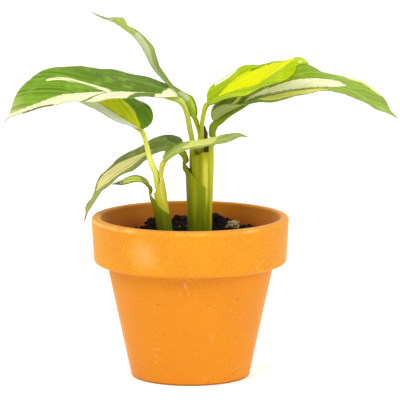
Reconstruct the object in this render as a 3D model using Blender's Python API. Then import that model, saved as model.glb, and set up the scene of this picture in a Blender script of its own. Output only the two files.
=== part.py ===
"""Potted ctenanthe: a terracotta pot, its potting mix, and a young plant of two leafy shoots.

Sizes are millimetres in the constants and metres in the scene.  The model is drawn about the
pot's own axis, and a last step moves it so that its footprint's centre is the origin.
+X is to the right and -Y is towards the front.
"""
import math
import random

import bmesh
import bpy
import numpy as np

MM = 0.001
GAP = 0.3                   # clearance kept between pieces that touch

# Pot
RIM_DIAMETER = 110.0        # outside, at the top of the band
POT_HEIGHT = 90.0
BAND_HEIGHT = 26.0
BAND_TAPER = 1.2            # the band's radius is this much less at its lower edge
BAND_STEP = 7.3             # how far the band stands out from the body
BASE_DIAMETER = 66.4
RIM_WALL = 5.2
BODY_WALL = 4.7
FLOOR_THICKNESS = 6.0
HOLE_DIAMETER = 12.0
LIP_ROUND = 1.8
BAND_ROUND = 2.2
BASE_ROUND = 1.2
POT_STEPS = 64

# Potting mix
MIX_DEPTH_BELOW_RIM = 10.5
MIX_STEPS = 40
MIX_RINGS = 7
LUMP_HEIGHT = 1.0

# Shoots: leaf sheaths nested in each other
SHEATH_WALL = 0.85
SHEATH_GAP = 0.4
RHIZOME_DEPTH = 15.0        # the rhizome's axis below the surface of the mix
RHIZOME_RADIUS = 4.6
ROOT_RADIUS = 1.3
ROOT_COUNT = 9

# Leaves
BLADE_THICKNESS = 0.6
BLADE_STATIONS = 19
BLADE_COLUMNS = 3           # on each side of the midrib
DRIED_TIP_FACES = -72.0     # degrees from +X, seen from above
STEEPEST_DROP = 60.0        # degrees of lift past which a blade isn't thickened downwards any more
SECTION_STEPS = 10          # along a sheath's arc
STRIP_AT = 0.45             # share of a sheath's opening by which its edges have drawn back
STRIP_WRAP = 60.0           # degrees to each side that the strip then wraps

RIM_RADIUS = RIM_DIAMETER / 2
BASE_RADIUS = BASE_DIAMETER / 2
HOLE_RADIUS = HOLE_DIAMETER / 2
BAND_FOOT_RADIUS = RIM_RADIUS - BAND_TAPER
BAND_FOOT_HEIGHT = POT_HEIGHT - BAND_HEIGHT
BODY_TOP_RADIUS = BAND_FOOT_RADIUS - BAND_STEP
MOUTH_RADIUS = RIM_RADIUS - RIM_WALL
THROAT_RADIUS = BODY_TOP_RADIUS - BODY_WALL
THROAT_HEIGHT = BAND_FOOT_HEIGHT - 4.0
MIX_HEIGHT = POT_HEIGHT - MIX_DEPTH_BELOW_RIM
UP = np.array([0.0, 0.0, 1.0])

# Where leaves pass each other and the pot
MAIN_SHOOT_DEPTH = 4.0      # Y of the main shoot's axis
SIDE_SHOOT_DEPTH = -5.0
MAIN_CORE = 2.2             # radius of the main shoot's innermost stalk
LARGE_LEFT_SLACK = 2.0      # how slackly the large left leaf's sheath holds what is inside it
SIDE_STALK_RADIUS = 1.4
ARCHING_HALF_WIDTH = 14.0
NARROW_HALF_WIDTH = 7.0
PASSING_CLEARANCE = 1.6     # between the arching leaf and the side shoot's stalk in front of it
CROSSING_CLEARANCE = 0.55   # between the narrow leaf and the main shoot behind it
RIM_OVERHANG = 4.5          # how far outside the rim the arching leaf's tip hangs

BEHIND_SIDE = SIDE_SHOOT_DEPTH + SIDE_STALK_RADIUS + PASSING_CLEARANCE + ARCHING_HALF_WIDTH
MAIN_SHOOT_RADIUS = MAIN_CORE + 3 * (SHEATH_WALL + SHEATH_GAP) + LARGE_LEFT_SLACK
IN_FRONT = MAIN_SHOOT_DEPTH - MAIN_SHOOT_RADIUS - CROSSING_CLEARANCE - NARROW_HALF_WIDTH
TIP_REACH = -(RIM_RADIUS + RIM_OVERHANG)

# A shoot leans from foot, its axis on the surface of the mix.  core is the radius of its innermost
# stalk there, and core_taper is how much thinner that is for each millimetre further up.
SHOOTS = {
    "main": {"foot": (5.9, MAIN_SHOOT_DEPTH), "lean": (-0.005, 0), "core": MAIN_CORE,
             "core_taper": 0.011},
    "side": {"foot": (-13.1, SIDE_SHOOT_DEPTH), "lean": (-0.17, 0), "core": 2.0,
             "core_taper": 0.006},
}

# Each leaf: its shoot and its layer in it from the inside, the way its sheath faces (degrees from
# +X), how far round the sheath wraps to each side, the heights above the mix where the sheath
# starts to open and where the stalk is free, how slackly it holds what is inside it where it opens,
# the stalk's radius, its points up to the blade, and the blade's midrib points.  Then the half width,
# where it is widest, how blunt it is, how far each half curls up from midrib to edge, and the mean
# lift of the left and right halves at places along it (degrees above level, seen from the foot).
# Every height is counted from the surface of the mix.
LEAVES = {
    "large_left": {
        "shoot": "main", "layer": 2, "faces": 180, "wrap": 125, "opens": 40, "free": 53,
        "slack": LARGE_LEFT_SLACK,
        "stalk_radius": 1.5, "stalk": [(-0.4, 3.5, 59.5), (-1.6, 3.5, 66.5), (-3.6, 3.4, 72.5)],
        "midrib": [(-6.8, 3, 76.3), (-14, 1, 78.5), (-29.5, -2, 80.1), (-47.7, -5, 80.7),
                   (-61, -7, 80.2), (-72, -8, 78.9), (-85.7, -9, 74), (-97.8, -10, 69.1),
                   (-103.4, -10, 64.6)],
        "half_width": 22, "widest": 0.34, "blunt": 3.2, "curl": -14,
        "lift": [(0, 5, 40), (0.08, 1, 21), (0.3, 0, 25), (0.5, -5, 33), (0.7, -3, 50),
                 (0.85, 0, 50), (0.93, 0, 14), (1, 0, 0)],
    },
    "rolled_young": {
        "shoot": "main", "layer": 0, "faces": 120, "wrap": 150, "opens": 50, "free": 56, "slack": 0,
        "stalk_radius": 1.15, "stalk": [(4.2, 5.2, 59.5), (3.4, 5.8, 63)],
        "midrib": [(2.9, 5.5, 65.3), (-1.6, 6.5, 71.3), (-5.7, 7.5, 76.2), (-11.3, 9, 82.8),
                   (-20.8, 11, 92.6), (-26, 12, 102.6), (-31.9, 13, 110.3), (-36.9, 13, 113.9),
                   (-42.4, 13, 117.8), (-48, 13, 119.5), (-54.6, 13, 123.2)],
        "half_width": 9.5, "widest": 0.5, "blunt": 2.4, "curl": 70,
        "lift": [(0, 60, 60), (0.1, 75, 70), (0.18, 56, 26), (0.27, 40, 8), (0.5, 47, 22),
                 (0.6, 55, 27), (0.75, 52, 42), (0.9, 30, 18), (1, 5, 0)],
    },
    "upper_right": {
        "shoot": "main", "layer": 1, "faces": -65, "wrap": 120, "opens": 49, "free": 57, "slack": 0,
        "stalk_radius": 1.25, "stalk": [(6.3, 1.6, 61), (7.2, 1.3, 66.5), (8.3, 1.1, 71.5)],
        "midrib": [(9.3, 1, 74.3), (17.6, -1, 78.5), (27.5, -4, 82.2), (36.9, -6, 85.3),
                   (49.5, -9, 94), (58.8, -10, 99.7), (65.4, -11, 97.6)],
        "half_width": 17, "widest": 0.3, "blunt": 2.4, "curl": -14,
        "lift": [(0, 50, -15), (0.1, 34, -8), (0.25, 40, -9), (0.5, 37, -10), (0.65, 24, -20),
                 (0.83, 4, -40), (1, 0, -20)],
    },
    "large_right": {
        "shoot": "main", "layer": 3, "faces": 0, "wrap": 130, "opens": 43, "free": 55, "slack": 0,
        "stalk_radius": 1.9, "stalk": [(11.4, 4, 58.5)],
        "midrib": [(13.4, 5, 61.9), (19.3, 6, 66.9), (27.7, 7, 71.3), (36.6, 8, 76.2),
                   (49.9, 9, 78.9), (61.1, 10, 80.4), (72.2, 10, 81.2), (86.1, 10, 81),
                   (95.6, 9, 77.7), (102.9, 9, 73.2), (109.5, 8, 68.9), (115.7, 8, 64.4)],
        "half_width": 21, "widest": 0.36, "blunt": 2.4, "curl": -14,
        "lift": [(0, 40, 75), (0.08, 27, 28), (0.18, 28, 7), (0.27, 27, -4), (0.42, 40, -3),
                 (0.5, 38, 0), (0.6, 16, 2), (0.68, 0, 2), (0.83, 2, -3), (1, 0, 0)],
    },
    "arching_lower_left": {
        "shoot": "main", "layer": 4, "faces": 180, "wrap": 110, "opens": 27, "free": 41, "slack": 0,
        "stalk_radius": 1.7, "stalk": [(-3.6, 4, 45.1)],
        "midrib": [(-6.3, 4, 47.5), (-12.4, BEHIND_SIDE - 3, 48.1), (-18.6, BEHIND_SIDE, 46.9),
                   (-25.3, BEHIND_SIDE + 1, 42.8), (-33.1, BEHIND_SIDE + 1, 37.7),
                   (-40.4, BEHIND_SIDE, 33.3), (TIP_REACH + 12.9, BEHIND_SIDE - 1, 28.4),
                   (TIP_REACH + 8.2, BEHIND_SIDE - 2, 23.9), (TIP_REACH + 5.1, 9, 17.9),
                   (TIP_REACH + 1.8, 8, 11.9), (TIP_REACH, 8, 6.2)],
        "half_width": ARCHING_HALF_WIDTH, "widest": 0.3, "blunt": 2.2, "curl": -10,
        "lift": [(0, -5, 30), (0.1, -10, 28), (0.25, -7, 22), (0.5, -2, 17), (0.67, 0, 12),
                 (0.78, 8, -13), (0.9, 14, 4), (1, 0, 0)],
    },
    "left_of_side_shoot": {
        "shoot": "side", "layer": 0, "faces": 180, "wrap": 150, "opens": 30, "free": 36, "slack": 0,
        "stalk_radius": SIDE_STALK_RADIUS,
        "stalk": [(-21.5, SIDE_SHOOT_DEPTH, 40.5), (-23.6, -4.5, 48.5), (-25.4, -3.8, 55.5)],
        "midrib": [(-26.6, -3, 59.5), (-31.9, 2, 61.9), (-40.4, 9, 66), (-47.7, 14, 69.8),
                   (-54.5, 20, 72.9), (-61.8, 22, 75.5), (-67.5, 23, 77)],
        "half_width": 19, "widest": 0.35, "blunt": 2.4, "curl": -10,
        "lift": [(0, 17, 12), (0.1, 19, 18), (0.3, 19, 22), (0.55, 18, 20), (0.75, 11, 30),
                 (1, 5, 10)],
    },
    "narrow_front": {
        "shoot": "side", "layer": 1, "faces": -20, "wrap": 120, "opens": 24, "free": 34, "slack": 1.0,
        "stalk_radius": 1.3, "stalk": [(-15.9, -6.2, 38.5)],
        "midrib": [(-15.2, -6.5, 42.5), (-12.4, -8, 45.5), (-6.8, IN_FRONT + 1.5, 49.1),
                   (-0.1, IN_FRONT, 51.8), (8.2, IN_FRONT - 1, 53.3), (19.2, IN_FRONT - 3.5, 56.2),
                   (27.5, IN_FRONT - 5.5, 58.5), (32.1, IN_FRONT - 6.5, 57.5)],
        "half_width": NARROW_HALF_WIDTH, "widest": 0.35, "blunt": 2.2, "curl": 15,
        "lift": [(0, 60, -10), (0.1, 48, -25), (0.25, 26, -16), (0.4, 10, -6), (0.65, 21, -15),
                 (0.85, 18, -22), (1, 0, 0)],
    },
    "withered_small": {
        "shoot": "side", "layer": 2, "faces": 180, "wrap": 145, "opens": 12, "free": 25, "slack": 0,
        "stalk_radius": 1.0, "stalk": [(-21.4, -5.6, 27.1)],
        "midrib": [(-22.8, -6, 29), (-26.3, -7, 31.8), (-30.7, -8, 32.8), (-36.3, -9, 31.9),
                   (-43.5, -10, 30)],
        "half_width": 5, "widest": 0.35, "blunt": 2.2, "curl": 30,
        "lift": [(0, -10, 40), (0.2, -10, 20), (0.5, -12, 10), (0.8, -30, 0), (1, 0, 0)],
    },
}

COLOURS = {
    "terracotta": (0.93, 0.42, 0.10), "potting_mix": (0.03, 0.018, 0.01),
    "rhizome": (0.55, 0.42, 0.25), "main_sheath": (0.36, 0.42, 0.06),
    "side_sheath": (0.60, 0.66, 0.24), "leaf_green": (0.05, 0.17, 0.02),
    "leaf_light": (0.35, 0.55, 0.05), "dried": (0.16, 0.10, 0.05), "bark": (0.07, 0.04, 0.02),
    "crumb": (0.50, 0.42, 0.28), "perlite": (0.85, 0.83, 0.78),
}


def material(name):
    found = bpy.data.materials.get(name)
    if found:
        return found
    made = bpy.data.materials.new(name)
    made.use_nodes = True
    shader = made.node_tree.nodes["Principled BSDF"]
    shader.inputs["Base Color"].default_value = (*COLOURS[name], 1)
    shader.inputs["Roughness"].default_value = 0.5 if "leaf" in name or "sheath" in name else 0.85
    shader.inputs["Metallic"].default_value = 0
    return made


def add_object(name, mesh, material_name, parent=None):
    made = bpy.data.objects.new(name, mesh)
    bpy.context.collection.objects.link(made)
    mesh.materials.append(material(material_name))
    made.parent = parent
    return made


def finish_mesh(name, bm, sharp_degrees=40):
    bmesh.ops.recalc_face_normals(bm, faces=bm.faces)
    mesh = bpy.data.meshes.new(name)
    bm.to_mesh(mesh)
    bm.free()
    mesh.shade_smooth()
    mesh.set_sharp_from_angle(angle=math.radians(sharp_degrees))
    return mesh


def loft(rings):
    """A closed body through rings of equal length; each end is closed by strips across its ring."""
    bm = bmesh.new()
    rows = [[bm.verts.new(point * MM) for point in ring] for ring in rings]
    count = len(rows[0])
    for low, high in zip(rows, rows[1:]):
        for i in range(count):
            j = (i + 1) % count
            bm.faces.new((low[i], low[j], high[j], high[i]))
    for row in (rows[0], rows[-1]):
        for i in range(count // 2 - 1):
            bm.faces.new((row[i], row[i + 1], row[count - 2 - i], row[count - 1 - i]))
    return bm


def arc(centre, radius, start, end, steps):
    """Points (r, z) on a fillet, both ends included, angles in degrees."""
    angles = np.radians(np.linspace(start, end, steps + 1))
    return [(centre[0] + radius * math.cos(a), centre[1] + radius * math.sin(a)) for a in angles]


def turned(profile, steps):
    """Spins a closed (r, z) outline, which stays off the axis, once round Z."""
    bm = bmesh.new()
    verts = [bm.verts.new((r * MM, 0, z * MM)) for r, z in profile]
    edges = [bm.edges.new((a, b)) for a, b in zip(verts, verts[1:] + verts[:1])]
    bmesh.ops.spin(bm, geom=verts + edges, axis=(0, 0, 1), cent=(0, 0, 0),
                   angle=math.tau, steps=steps, use_merge=True)
    bmesh.ops.remove_doubles(bm, verts=bm.verts, dist=1e-6)
    return bm


def inner_wall_radius(height):
    return float(np.interp(height, (FLOOR_THICKNESS, THROAT_HEIGHT, POT_HEIGHT - LIP_ROUND),
                           (BASE_RADIUS - BODY_WALL, THROAT_RADIUS, MOUTH_RADIUS)))


def make_pot(root):
    lip = LIP_ROUND
    profile = [(HOLE_RADIUS, 0)]
    profile += arc((BASE_RADIUS - BASE_ROUND, BASE_ROUND), BASE_ROUND, -90, 0, 2)
    profile += [(BODY_TOP_RADIUS, BAND_FOOT_HEIGHT)]
    profile += arc((BAND_FOOT_RADIUS - BAND_ROUND, BAND_FOOT_HEIGHT + BAND_ROUND), BAND_ROUND,
                   -90, 0, 3)
    profile += arc((RIM_RADIUS - lip, POT_HEIGHT - lip), lip, 0, 90, 3)
    profile += arc((MOUTH_RADIUS + lip, POT_HEIGHT - lip), lip, 90, 180, 3)
    profile += [(THROAT_RADIUS, THROAT_HEIGHT), (BASE_RADIUS - BODY_WALL, FLOOR_THICKNESS),
                (HOLE_RADIUS, FLOOR_THICKNESS)]
    add_object("pot", finish_mesh("pot", turned(profile, POT_STEPS), 30), "terracotta", root)


def mix_surface(x, y):
    """Height of the mix: level, with low lumps."""
    lumps = math.sin(0.31 * x + 1.3) * math.cos(0.27 * y - 0.4) + 0.6 * math.sin(0.5 * x - 0.7 * y)
    return MIX_HEIGHT + LUMP_HEIGHT * 0.6 * lumps


def shoot_axis(shoot, height):
    rise = height - MIX_HEIGHT
    return np.array([shoot["foot"][0] + shoot["lean"][0] * rise,
                     shoot["foot"][1] + shoot["lean"][1] * rise, height])


def leaf_in_layer(shoot_name, layer):
    return next(leaf for leaf in LEAVES.values()
                if leaf["shoot"] == shoot_name and leaf["layer"] == layer)


def layer_radius(shoot_name, layer, height):
    """Outer radius of a nested sheath: what is inside it, the clearance, its slack and its wall."""
    rise = height - MIX_HEIGHT
    shoot = SHOOTS[shoot_name]
    if layer == 0:
        return shoot["core"] - shoot["core_taper"] * rise
    leaf = leaf_in_layer(shoot_name, layer)
    slack = leaf["slack"] * min(max(rise / leaf["opens"], 0), 1)
    return layer_radius(shoot_name, layer - 1, height) + SHEATH_GAP + slack + SHEATH_WALL


def shoot_outer_radius(name, height):
    layers = [leaf["layer"] for leaf in LEAVES.values() if leaf["shoot"] == name]
    return layer_radius(name, max(layers), height)


def sheath_foot_height():
    return MIX_HEIGHT - RHIZOME_DEPTH + RHIZOME_RADIUS + GAP


def rhizome_parts(extra):
    """Closed bodies of the rhizome and its roots, each one grown by extra."""
    axis_height = MIX_HEIGHT - RHIZOME_DEPTH
    ends = [shoot_axis(SHOOTS[name], axis_height) for name in ("side", "main")]
    ends[0] += (-6, -2, 0)
    ends[1] += (7, 3, 0)
    bodies = []
    stations = np.linspace(0, 1, 9)
    rings = []
    for u in stations:
        centre = ends[0] + (ends[1] - ends[0]) * u
        swell = RHIZOME_RADIUS * (0.45 + 0.55 * math.sin(math.pi * u) ** 0.5)
        centre = centre + (ends[1] - ends[0]) / np.linalg.norm(ends[1] - ends[0]) * extra * (2 * u - 1)
        rings.append(round_ring(centre, ends[1] - ends[0], swell + extra, 12))
    bodies.append(rings)
    rng = random.Random(5)
    for k in range(ROOT_COUNT):
        turn = math.tau * k / ROOT_COUNT + rng.uniform(-0.2, 0.2)
        start = ends[0] + (ends[1] - ends[0]) * rng.uniform(0.15, 0.85) - (0, 0, 1.0)
        way = np.array([math.cos(turn), math.sin(turn), 0])
        reach = rng.uniform(13, 18)
        fall = rng.uniform(24, 40)
        points = [start, start + way * reach * 0.5 - UP * fall * 0.2,
                  start + way * reach * 0.85 - UP * fall * 0.55, start + way * reach - UP * fall]
        path = smooth_path(points, 7)
        ways = path_directions(path)
        path[-1] = path[-1] + ways[-1] * extra
        bodies.append([round_ring(p, d, ROOT_RADIUS * (1 - 0.5 * i / 6) + extra, 6)
                       for i, (p, d) in enumerate(zip(path, ways))])
    return bodies


def round_ring(centre, way, radius, count):
    way = way / np.linalg.norm(way)
    side = np.cross(way, UP if abs(way[2]) < 0.9 else np.array([1.0, 0, 0]))
    side /= np.linalg.norm(side)
    other = np.cross(side, way)
    angles = np.linspace(0, math.tau, count, endpoint=False) + math.pi / count
    return [centre + radius * (math.cos(a) * side + math.sin(a) * other) for a in angles]


def smooth_path(points, count):
    """count points, evenly spaced along a centripetal Catmull-Rom curve through points."""
    points = [np.array(p, float) for p in points]
    ends = [2 * points[0] - points[1], *points, 2 * points[-1] - points[-2]]
    fine = []
    for a, b, c, d in zip(ends, ends[1:], ends[2:], ends[3:]):
        t = np.cumsum([0] + [math.sqrt(np.linalg.norm(q - p)) for p, q in ((a, b), (b, c), (c, d))])
        for s in np.linspace(t[1], t[2], 24, endpoint=False):
            ab = mix_at(a, b, t[0], t[1], s)
            bc = mix_at(b, c, t[1], t[2], s)
            cd = mix_at(c, d, t[2], t[3], s)
            fine.append(mix_at(mix_at(ab, bc, t[0], t[2], s), mix_at(bc, cd, t[1], t[3], s),
                               t[1], t[2], s))
    fine = np.array(fine + [points[-1]])
    run = np.concatenate(([0], np.cumsum(np.linalg.norm(np.diff(fine, axis=0), axis=1))))
    places = np.linspace(0, run[-1], count)
    return np.stack([np.interp(places, run, fine[:, k]) for k in range(3)], axis=1)


def mix_at(p, q, start, end, s):
    return p + (q - p) * ((s - start) / (end - start))


def path_directions(path):
    ways = np.gradient(path, axis=0)
    return ways / np.linalg.norm(ways, axis=1)[:, None]


def union(name, bodies):
    """One closed mesh from overlapping lofted bodies."""
    made = []
    for i, rings in enumerate(bodies):
        made.append(add_object(f"{name}_body_{i}", finish_mesh(f"{name}_{i}", loft(rings)), "rhizome"))
    first = made[0]
    for other in made[1:]:
        join = first.modifiers.new(other.name, "BOOLEAN")
        join.operation = "UNION"
        join.object = other
    shape = bpy.data.meshes.new_from_object(
        first.evaluated_get(bpy.context.evaluated_depsgraph_get()))
    for other in made:
        bpy.data.objects.remove(other)
    shape.materials.clear()
    return shape


def make_rhizome(root):
    shape = union("rhizome", rhizome_parts(0))
    shape.shade_smooth()
    add_object("rhizome_with_roots", shape, "rhizome", root)


def make_mix(root):
    """The mix fills the pot to its surface, and leaves room for the rhizome and the shoots."""
    bm = bmesh.new()
    angles = np.linspace(0, math.tau, MIX_STEPS, endpoint=False)
    rows = []
    for r, z in ((BASE_RADIUS - BODY_WALL, FLOOR_THICKNESS + GAP), (THROAT_RADIUS, THROAT_HEIGHT)):
        rows.append([((r - GAP) * math.cos(a), (r - GAP) * math.sin(a), z) for a in angles])
    edge = inner_wall_radius(MIX_HEIGHT - LUMP_HEIGHT) - GAP
    for i in range(MIX_RINGS, 0, -1):
        r = edge * i / MIX_RINGS
        rows.append([(r * math.cos(a), r * math.sin(a),
                      mix_surface(r * math.cos(a), r * math.sin(a))
                      - (LUMP_HEIGHT if i == MIX_RINGS else 0)) for a in angles])
    verts = [[bm.verts.new(np.array(p) * MM) for p in row] for row in rows]
    for low, high in zip(verts, verts[1:]):
        for i in range(MIX_STEPS):
            j = (i + 1) % MIX_STEPS
            bm.faces.new((low[i], low[j], high[j], high[i]))
    for row, height in ((verts[0], FLOOR_THICKNESS + GAP), (verts[-1], mix_surface(0, 0))):
        middle = bm.verts.new((0, 0, height * MM))
        for i in range(MIX_STEPS):
            bm.faces.new((row[i], row[(i + 1) % MIX_STEPS], middle))
    mix = add_object("potting_mix", finish_mesh("potting_mix", bm), "potting_mix", root)

    cut_object(mix, add_object("rhizome_space", union("rhizome_space", rhizome_parts(GAP)), "rhizome"))
    for name, shoot in SHOOTS.items():
        low = MIX_HEIGHT - RHIZOME_DEPTH + 1.0
        heights = (low, MIX_HEIGHT + 8.0)
        rings = [round_ring(shoot_axis(shoot, z), UP,
                            shoot_outer_radius(name, z) + GAP, 24) for z in heights]
        cut_object(mix, add_object(f"{name}_socket", finish_mesh(f"{name}_socket", loft(rings)),
                                   "rhizome"))


def cut_object(target, cutter):
    cutter.hide_render = True
    cutter.display_type = "WIRE"
    cut = target.modifiers.new(cutter.name, "BOOLEAN")
    cut.operation = "DIFFERENCE"
    cut.object = cutter


def sheath_ring(centre, way, out, radius, wall, wrap):
    """A C-shaped section: its back is towards out, and it is open on the other side."""
    out = out - way * np.dot(out, way)
    out /= np.linalg.norm(out)
    side = np.cross(way, out)
    angles = np.radians(np.linspace(-wrap, wrap, SECTION_STEPS + 1))
    outer = [centre + radius * (math.cos(a) * out + math.sin(a) * side) for a in angles]
    inner = [centre + (radius - wall) * (math.cos(a) * out + math.sin(a) * side)
             for a in angles[::-1]]
    return outer + inner


def clear_offset(inside_radius, wrap, neighbour):
    """How far a sheath of inside_radius moves out so that it stays clear of the stalks inside it."""
    a = math.radians(wrap)
    if inside_radius >= neighbour:
        return 0.0
    room = neighbour ** 2 - (inside_radius * math.sin(a)) ** 2
    beside = -inside_radius * math.cos(a) + math.sqrt(max(room, 0))
    return max(beside, neighbour - inside_radius)


def ease(t):
    return t * t * (3 - 2 * t)


def leaf_path(leaf):
    """Points of the free stalk and the blade's midrib on one curve, and the direction at each."""
    surface = UP * MIX_HEIGHT
    start = opened_centre(leaf, MIX_HEIGHT + leaf["free"], 1.0)
    midrib = [surface + point for point in leaf["midrib"]]
    stalk_points = [start, *[surface + point for point in leaf["stalk"]], midrib[0]]
    stalk = smooth_path(stalk_points, 3 + 2 * len(leaf["stalk"]))
    return stalk, smooth_path(midrib, BLADE_STATIONS)


def opened_centre(leaf, height, t):
    """Centre of the section at a height where the sheath has opened by t."""
    radius, wall, wrap = opened_section(leaf, height, t)
    turn = math.radians(leaf["faces"])
    out = np.array([math.cos(turn), math.sin(turn), 0])
    neighbour = 0.0
    if leaf["layer"] > 0:
        neighbour = layer_radius(leaf["shoot"], leaf["layer"] - 1, height) + SHEATH_GAP
    back_stays = layer_radius(leaf["shoot"], leaf["layer"], height) - radius
    offset = max(back_stays, clear_offset(radius - wall, wrap, neighbour))
    return shoot_axis(SHOOTS[leaf["shoot"]], height) + out * offset * (t > 0)


def opened_section(leaf, height, t):
    """Radius, wall and wrap of a sheath that has opened by t, from 0, closed, to 1, a stalk.

    Its edges draw back first, to a strip, and then the strip narrows and thickens.
    """
    full = layer_radius(leaf["shoot"], leaf["layer"], height)
    thin = leaf["stalk_radius"]
    narrowed = ease(max(t - STRIP_AT, 0) / (1 - STRIP_AT))
    radius = full + (thin - full) * narrowed
    wall = SHEATH_WALL if leaf["layer"] > 0 else full - 0.2
    wall = wall + (thin - 0.2 - wall) * narrowed
    wrap = 150.0
    if leaf["layer"] > 0:
        wrap = float(np.interp(t, (0, STRIP_AT, 0.85, 1), (leaf["wrap"], STRIP_WRAP, STRIP_WRAP, 150)))
    return radius, wall, wrap


def make_stalk(name, leaf, parent):
    shoot = SHOOTS[leaf["shoot"]]
    turn = math.radians(leaf["faces"])
    out = np.array([math.cos(turn), math.sin(turn), 0])
    opens = MIX_HEIGHT + leaf["opens"]
    free = MIX_HEIGHT + leaf["free"]
    rings = []
    for height in np.linspace(sheath_foot_height(), opens, 5):
        radius, wall, wrap = opened_section(leaf, height, 0)
        rings.append(sheath_ring(shoot_axis(shoot, height), UP, out, radius, wall, wrap))
    for t in (STRIP_AT / 3, STRIP_AT * 2 / 3, STRIP_AT, 0.65, 0.85):
        height = opens + (free - opens) * t
        radius, wall, wrap = opened_section(leaf, height, t)
        rings.append(sheath_ring(opened_centre(leaf, height, t), UP, out, radius, wall, wrap))
    stalk, blade = leaf_path(leaf)
    radius, wall, wrap = opened_section(leaf, free, 1)
    ways = path_directions(np.vstack([stalk, blade[1:2]]))[:-1]
    ways[0] = UP
    stalk[-1] -= ways[-1] * GAP
    for point, way in zip(stalk, ways):
        rings.append(sheath_ring(point, way, out, radius, wall, wrap))
    add_object(f"{name}_leaf_stalk", finish_mesh(f"{name}_leaf_stalk", loft(rings)),
               f"{leaf['shoot']}_sheath", parent)


def blade_width(leaf, u):
    """Share of the half width at u: a rounded foot, full sides and a pointed tip."""
    widest = leaf["widest"]
    if u < widest:
        share = math.sqrt(1 - (1 - u / widest) ** 2)
    else:
        share = (1 - ((u - widest) / (1 - widest)) ** leaf["blunt"]) ** 0.8
    return max(share, 0.05 if u < 0.5 else 0.02)


def blade_section(leaf, u, centre, way):
    """Points of the closed section at u: the upper face from left to right, then the lower."""
    normal = UP - way * way[2]
    normal /= np.linalg.norm(normal)
    right = np.cross(way, normal)
    places, lefts, rights = zip(*leaf["lift"])
    lift = {-1: np.interp(u, places, lefts), 1: np.interp(u, places, rights)}
    step = leaf["half_width"] * blade_width(leaf, u) / BLADE_COLUMNS
    steepest = math.radians(min(max(abs(lift[-1]), abs(lift[1])), STEEPEST_DROP))
    drop = -normal * BLADE_THICKNESS / math.cos(steepest)
    upper = [centre]
    lower = [centre + drop]
    for hand in (-1, 1):
        point = centre
        for k in range(BLADE_COLUMNS):
            curled = leaf["curl"] * ((k + 0.5) / BLADE_COLUMNS - 0.5)
            angle = math.radians(lift[hand] + curled)
            outwards = hand * right
            point = point + step * (math.cos(angle) * outwards + math.sin(angle) * normal)
            below = drop
            if leaf["curl"] > 0:
                below = BLADE_THICKNESS * (math.sin(angle) * outwards - math.cos(angle) * normal)
            if hand < 0:
                upper.insert(0, point)
                lower.append(point + below)
            else:
                upper.append(point)
                lower.insert(0, point + below)
    return upper + lower


def make_blade(name, leaf, parent):
    path = leaf_path(leaf)[1]
    ways = path_directions(path)
    rings = [blade_section(leaf, u, point, way)
             for u, point, way in zip(np.linspace(0, 1, len(path)), path, ways)]
    shade = "leaf_light" if name in ("rolled_young", "narrow_front", "withered_small") else "leaf_green"
    add_object(f"{name}_leaf_blade", finish_mesh(f"{name}_leaf_blade", loft(rings), 60), shade, parent)


def make_dried_tip(parent):
    """A torn sheath tip that has dried, standing against the front of the main shoot."""
    turn = math.radians(DRIED_TIP_FACES)
    out = np.array([math.cos(turn), math.sin(turn), 0])
    path = []
    radii = (0.6, 0.8, 1.0, 0.8, 0.4)
    for rise, drift, radius in zip((45.5, 49.5, 53.5, 57.5, 61.5), (0, 0.2, 0.5, 0.9, 1.5), radii):
        height = MIX_HEIGHT + rise
        centre = shoot_axis(SHOOTS["main"], height)
        away = layer_radius("main", 3, height) + radius + GAP
        path.append(centre + out * away + (drift, 0, 0))
    ways = path_directions(np.array(path))
    rings = [round_ring(p, w, r, 6) for p, w, r in zip(path, ways, radii)]
    add_object("dried_sheath_tip", finish_mesh("dried_sheath_tip", loft(rings)), "dried", parent)


def make_lump(name, place, size, material_name, rng, parent, detail=1):
    """A rough lump of mean diameters size that rests on the mix at place."""
    bm = bmesh.new()
    bmesh.ops.create_icosphere(bm, subdivisions=detail, radius=0.5)
    turn = rng.uniform(0, math.tau)
    lowest = 0.0
    for vert in bm.verts:
        x, y, z = (c * s * rng.uniform(0.85, 1.1) for c, s in zip(vert.co, size))
        vert.co = (x * math.cos(turn) - y * math.sin(turn), x * math.sin(turn) + y * math.cos(turn), z)
        lowest = min(lowest, z)
    reach = max(size[:2]) / 2
    steps = [(place[0] + reach * math.cos(a), place[1] + reach * math.sin(a))
             for a in np.linspace(0, math.tau, 12, endpoint=False)]
    ground = max(mix_surface(*p) for p in [*steps, place])
    for vert in bm.verts:
        vert.co = ((vert.co.x + place[0]) * MM, (vert.co.y + place[1]) * MM,
                   (vert.co.z - lowest + ground + GAP) * MM)
    add_object(name, finish_mesh(name, bm, 25), material_name, parent)


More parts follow.
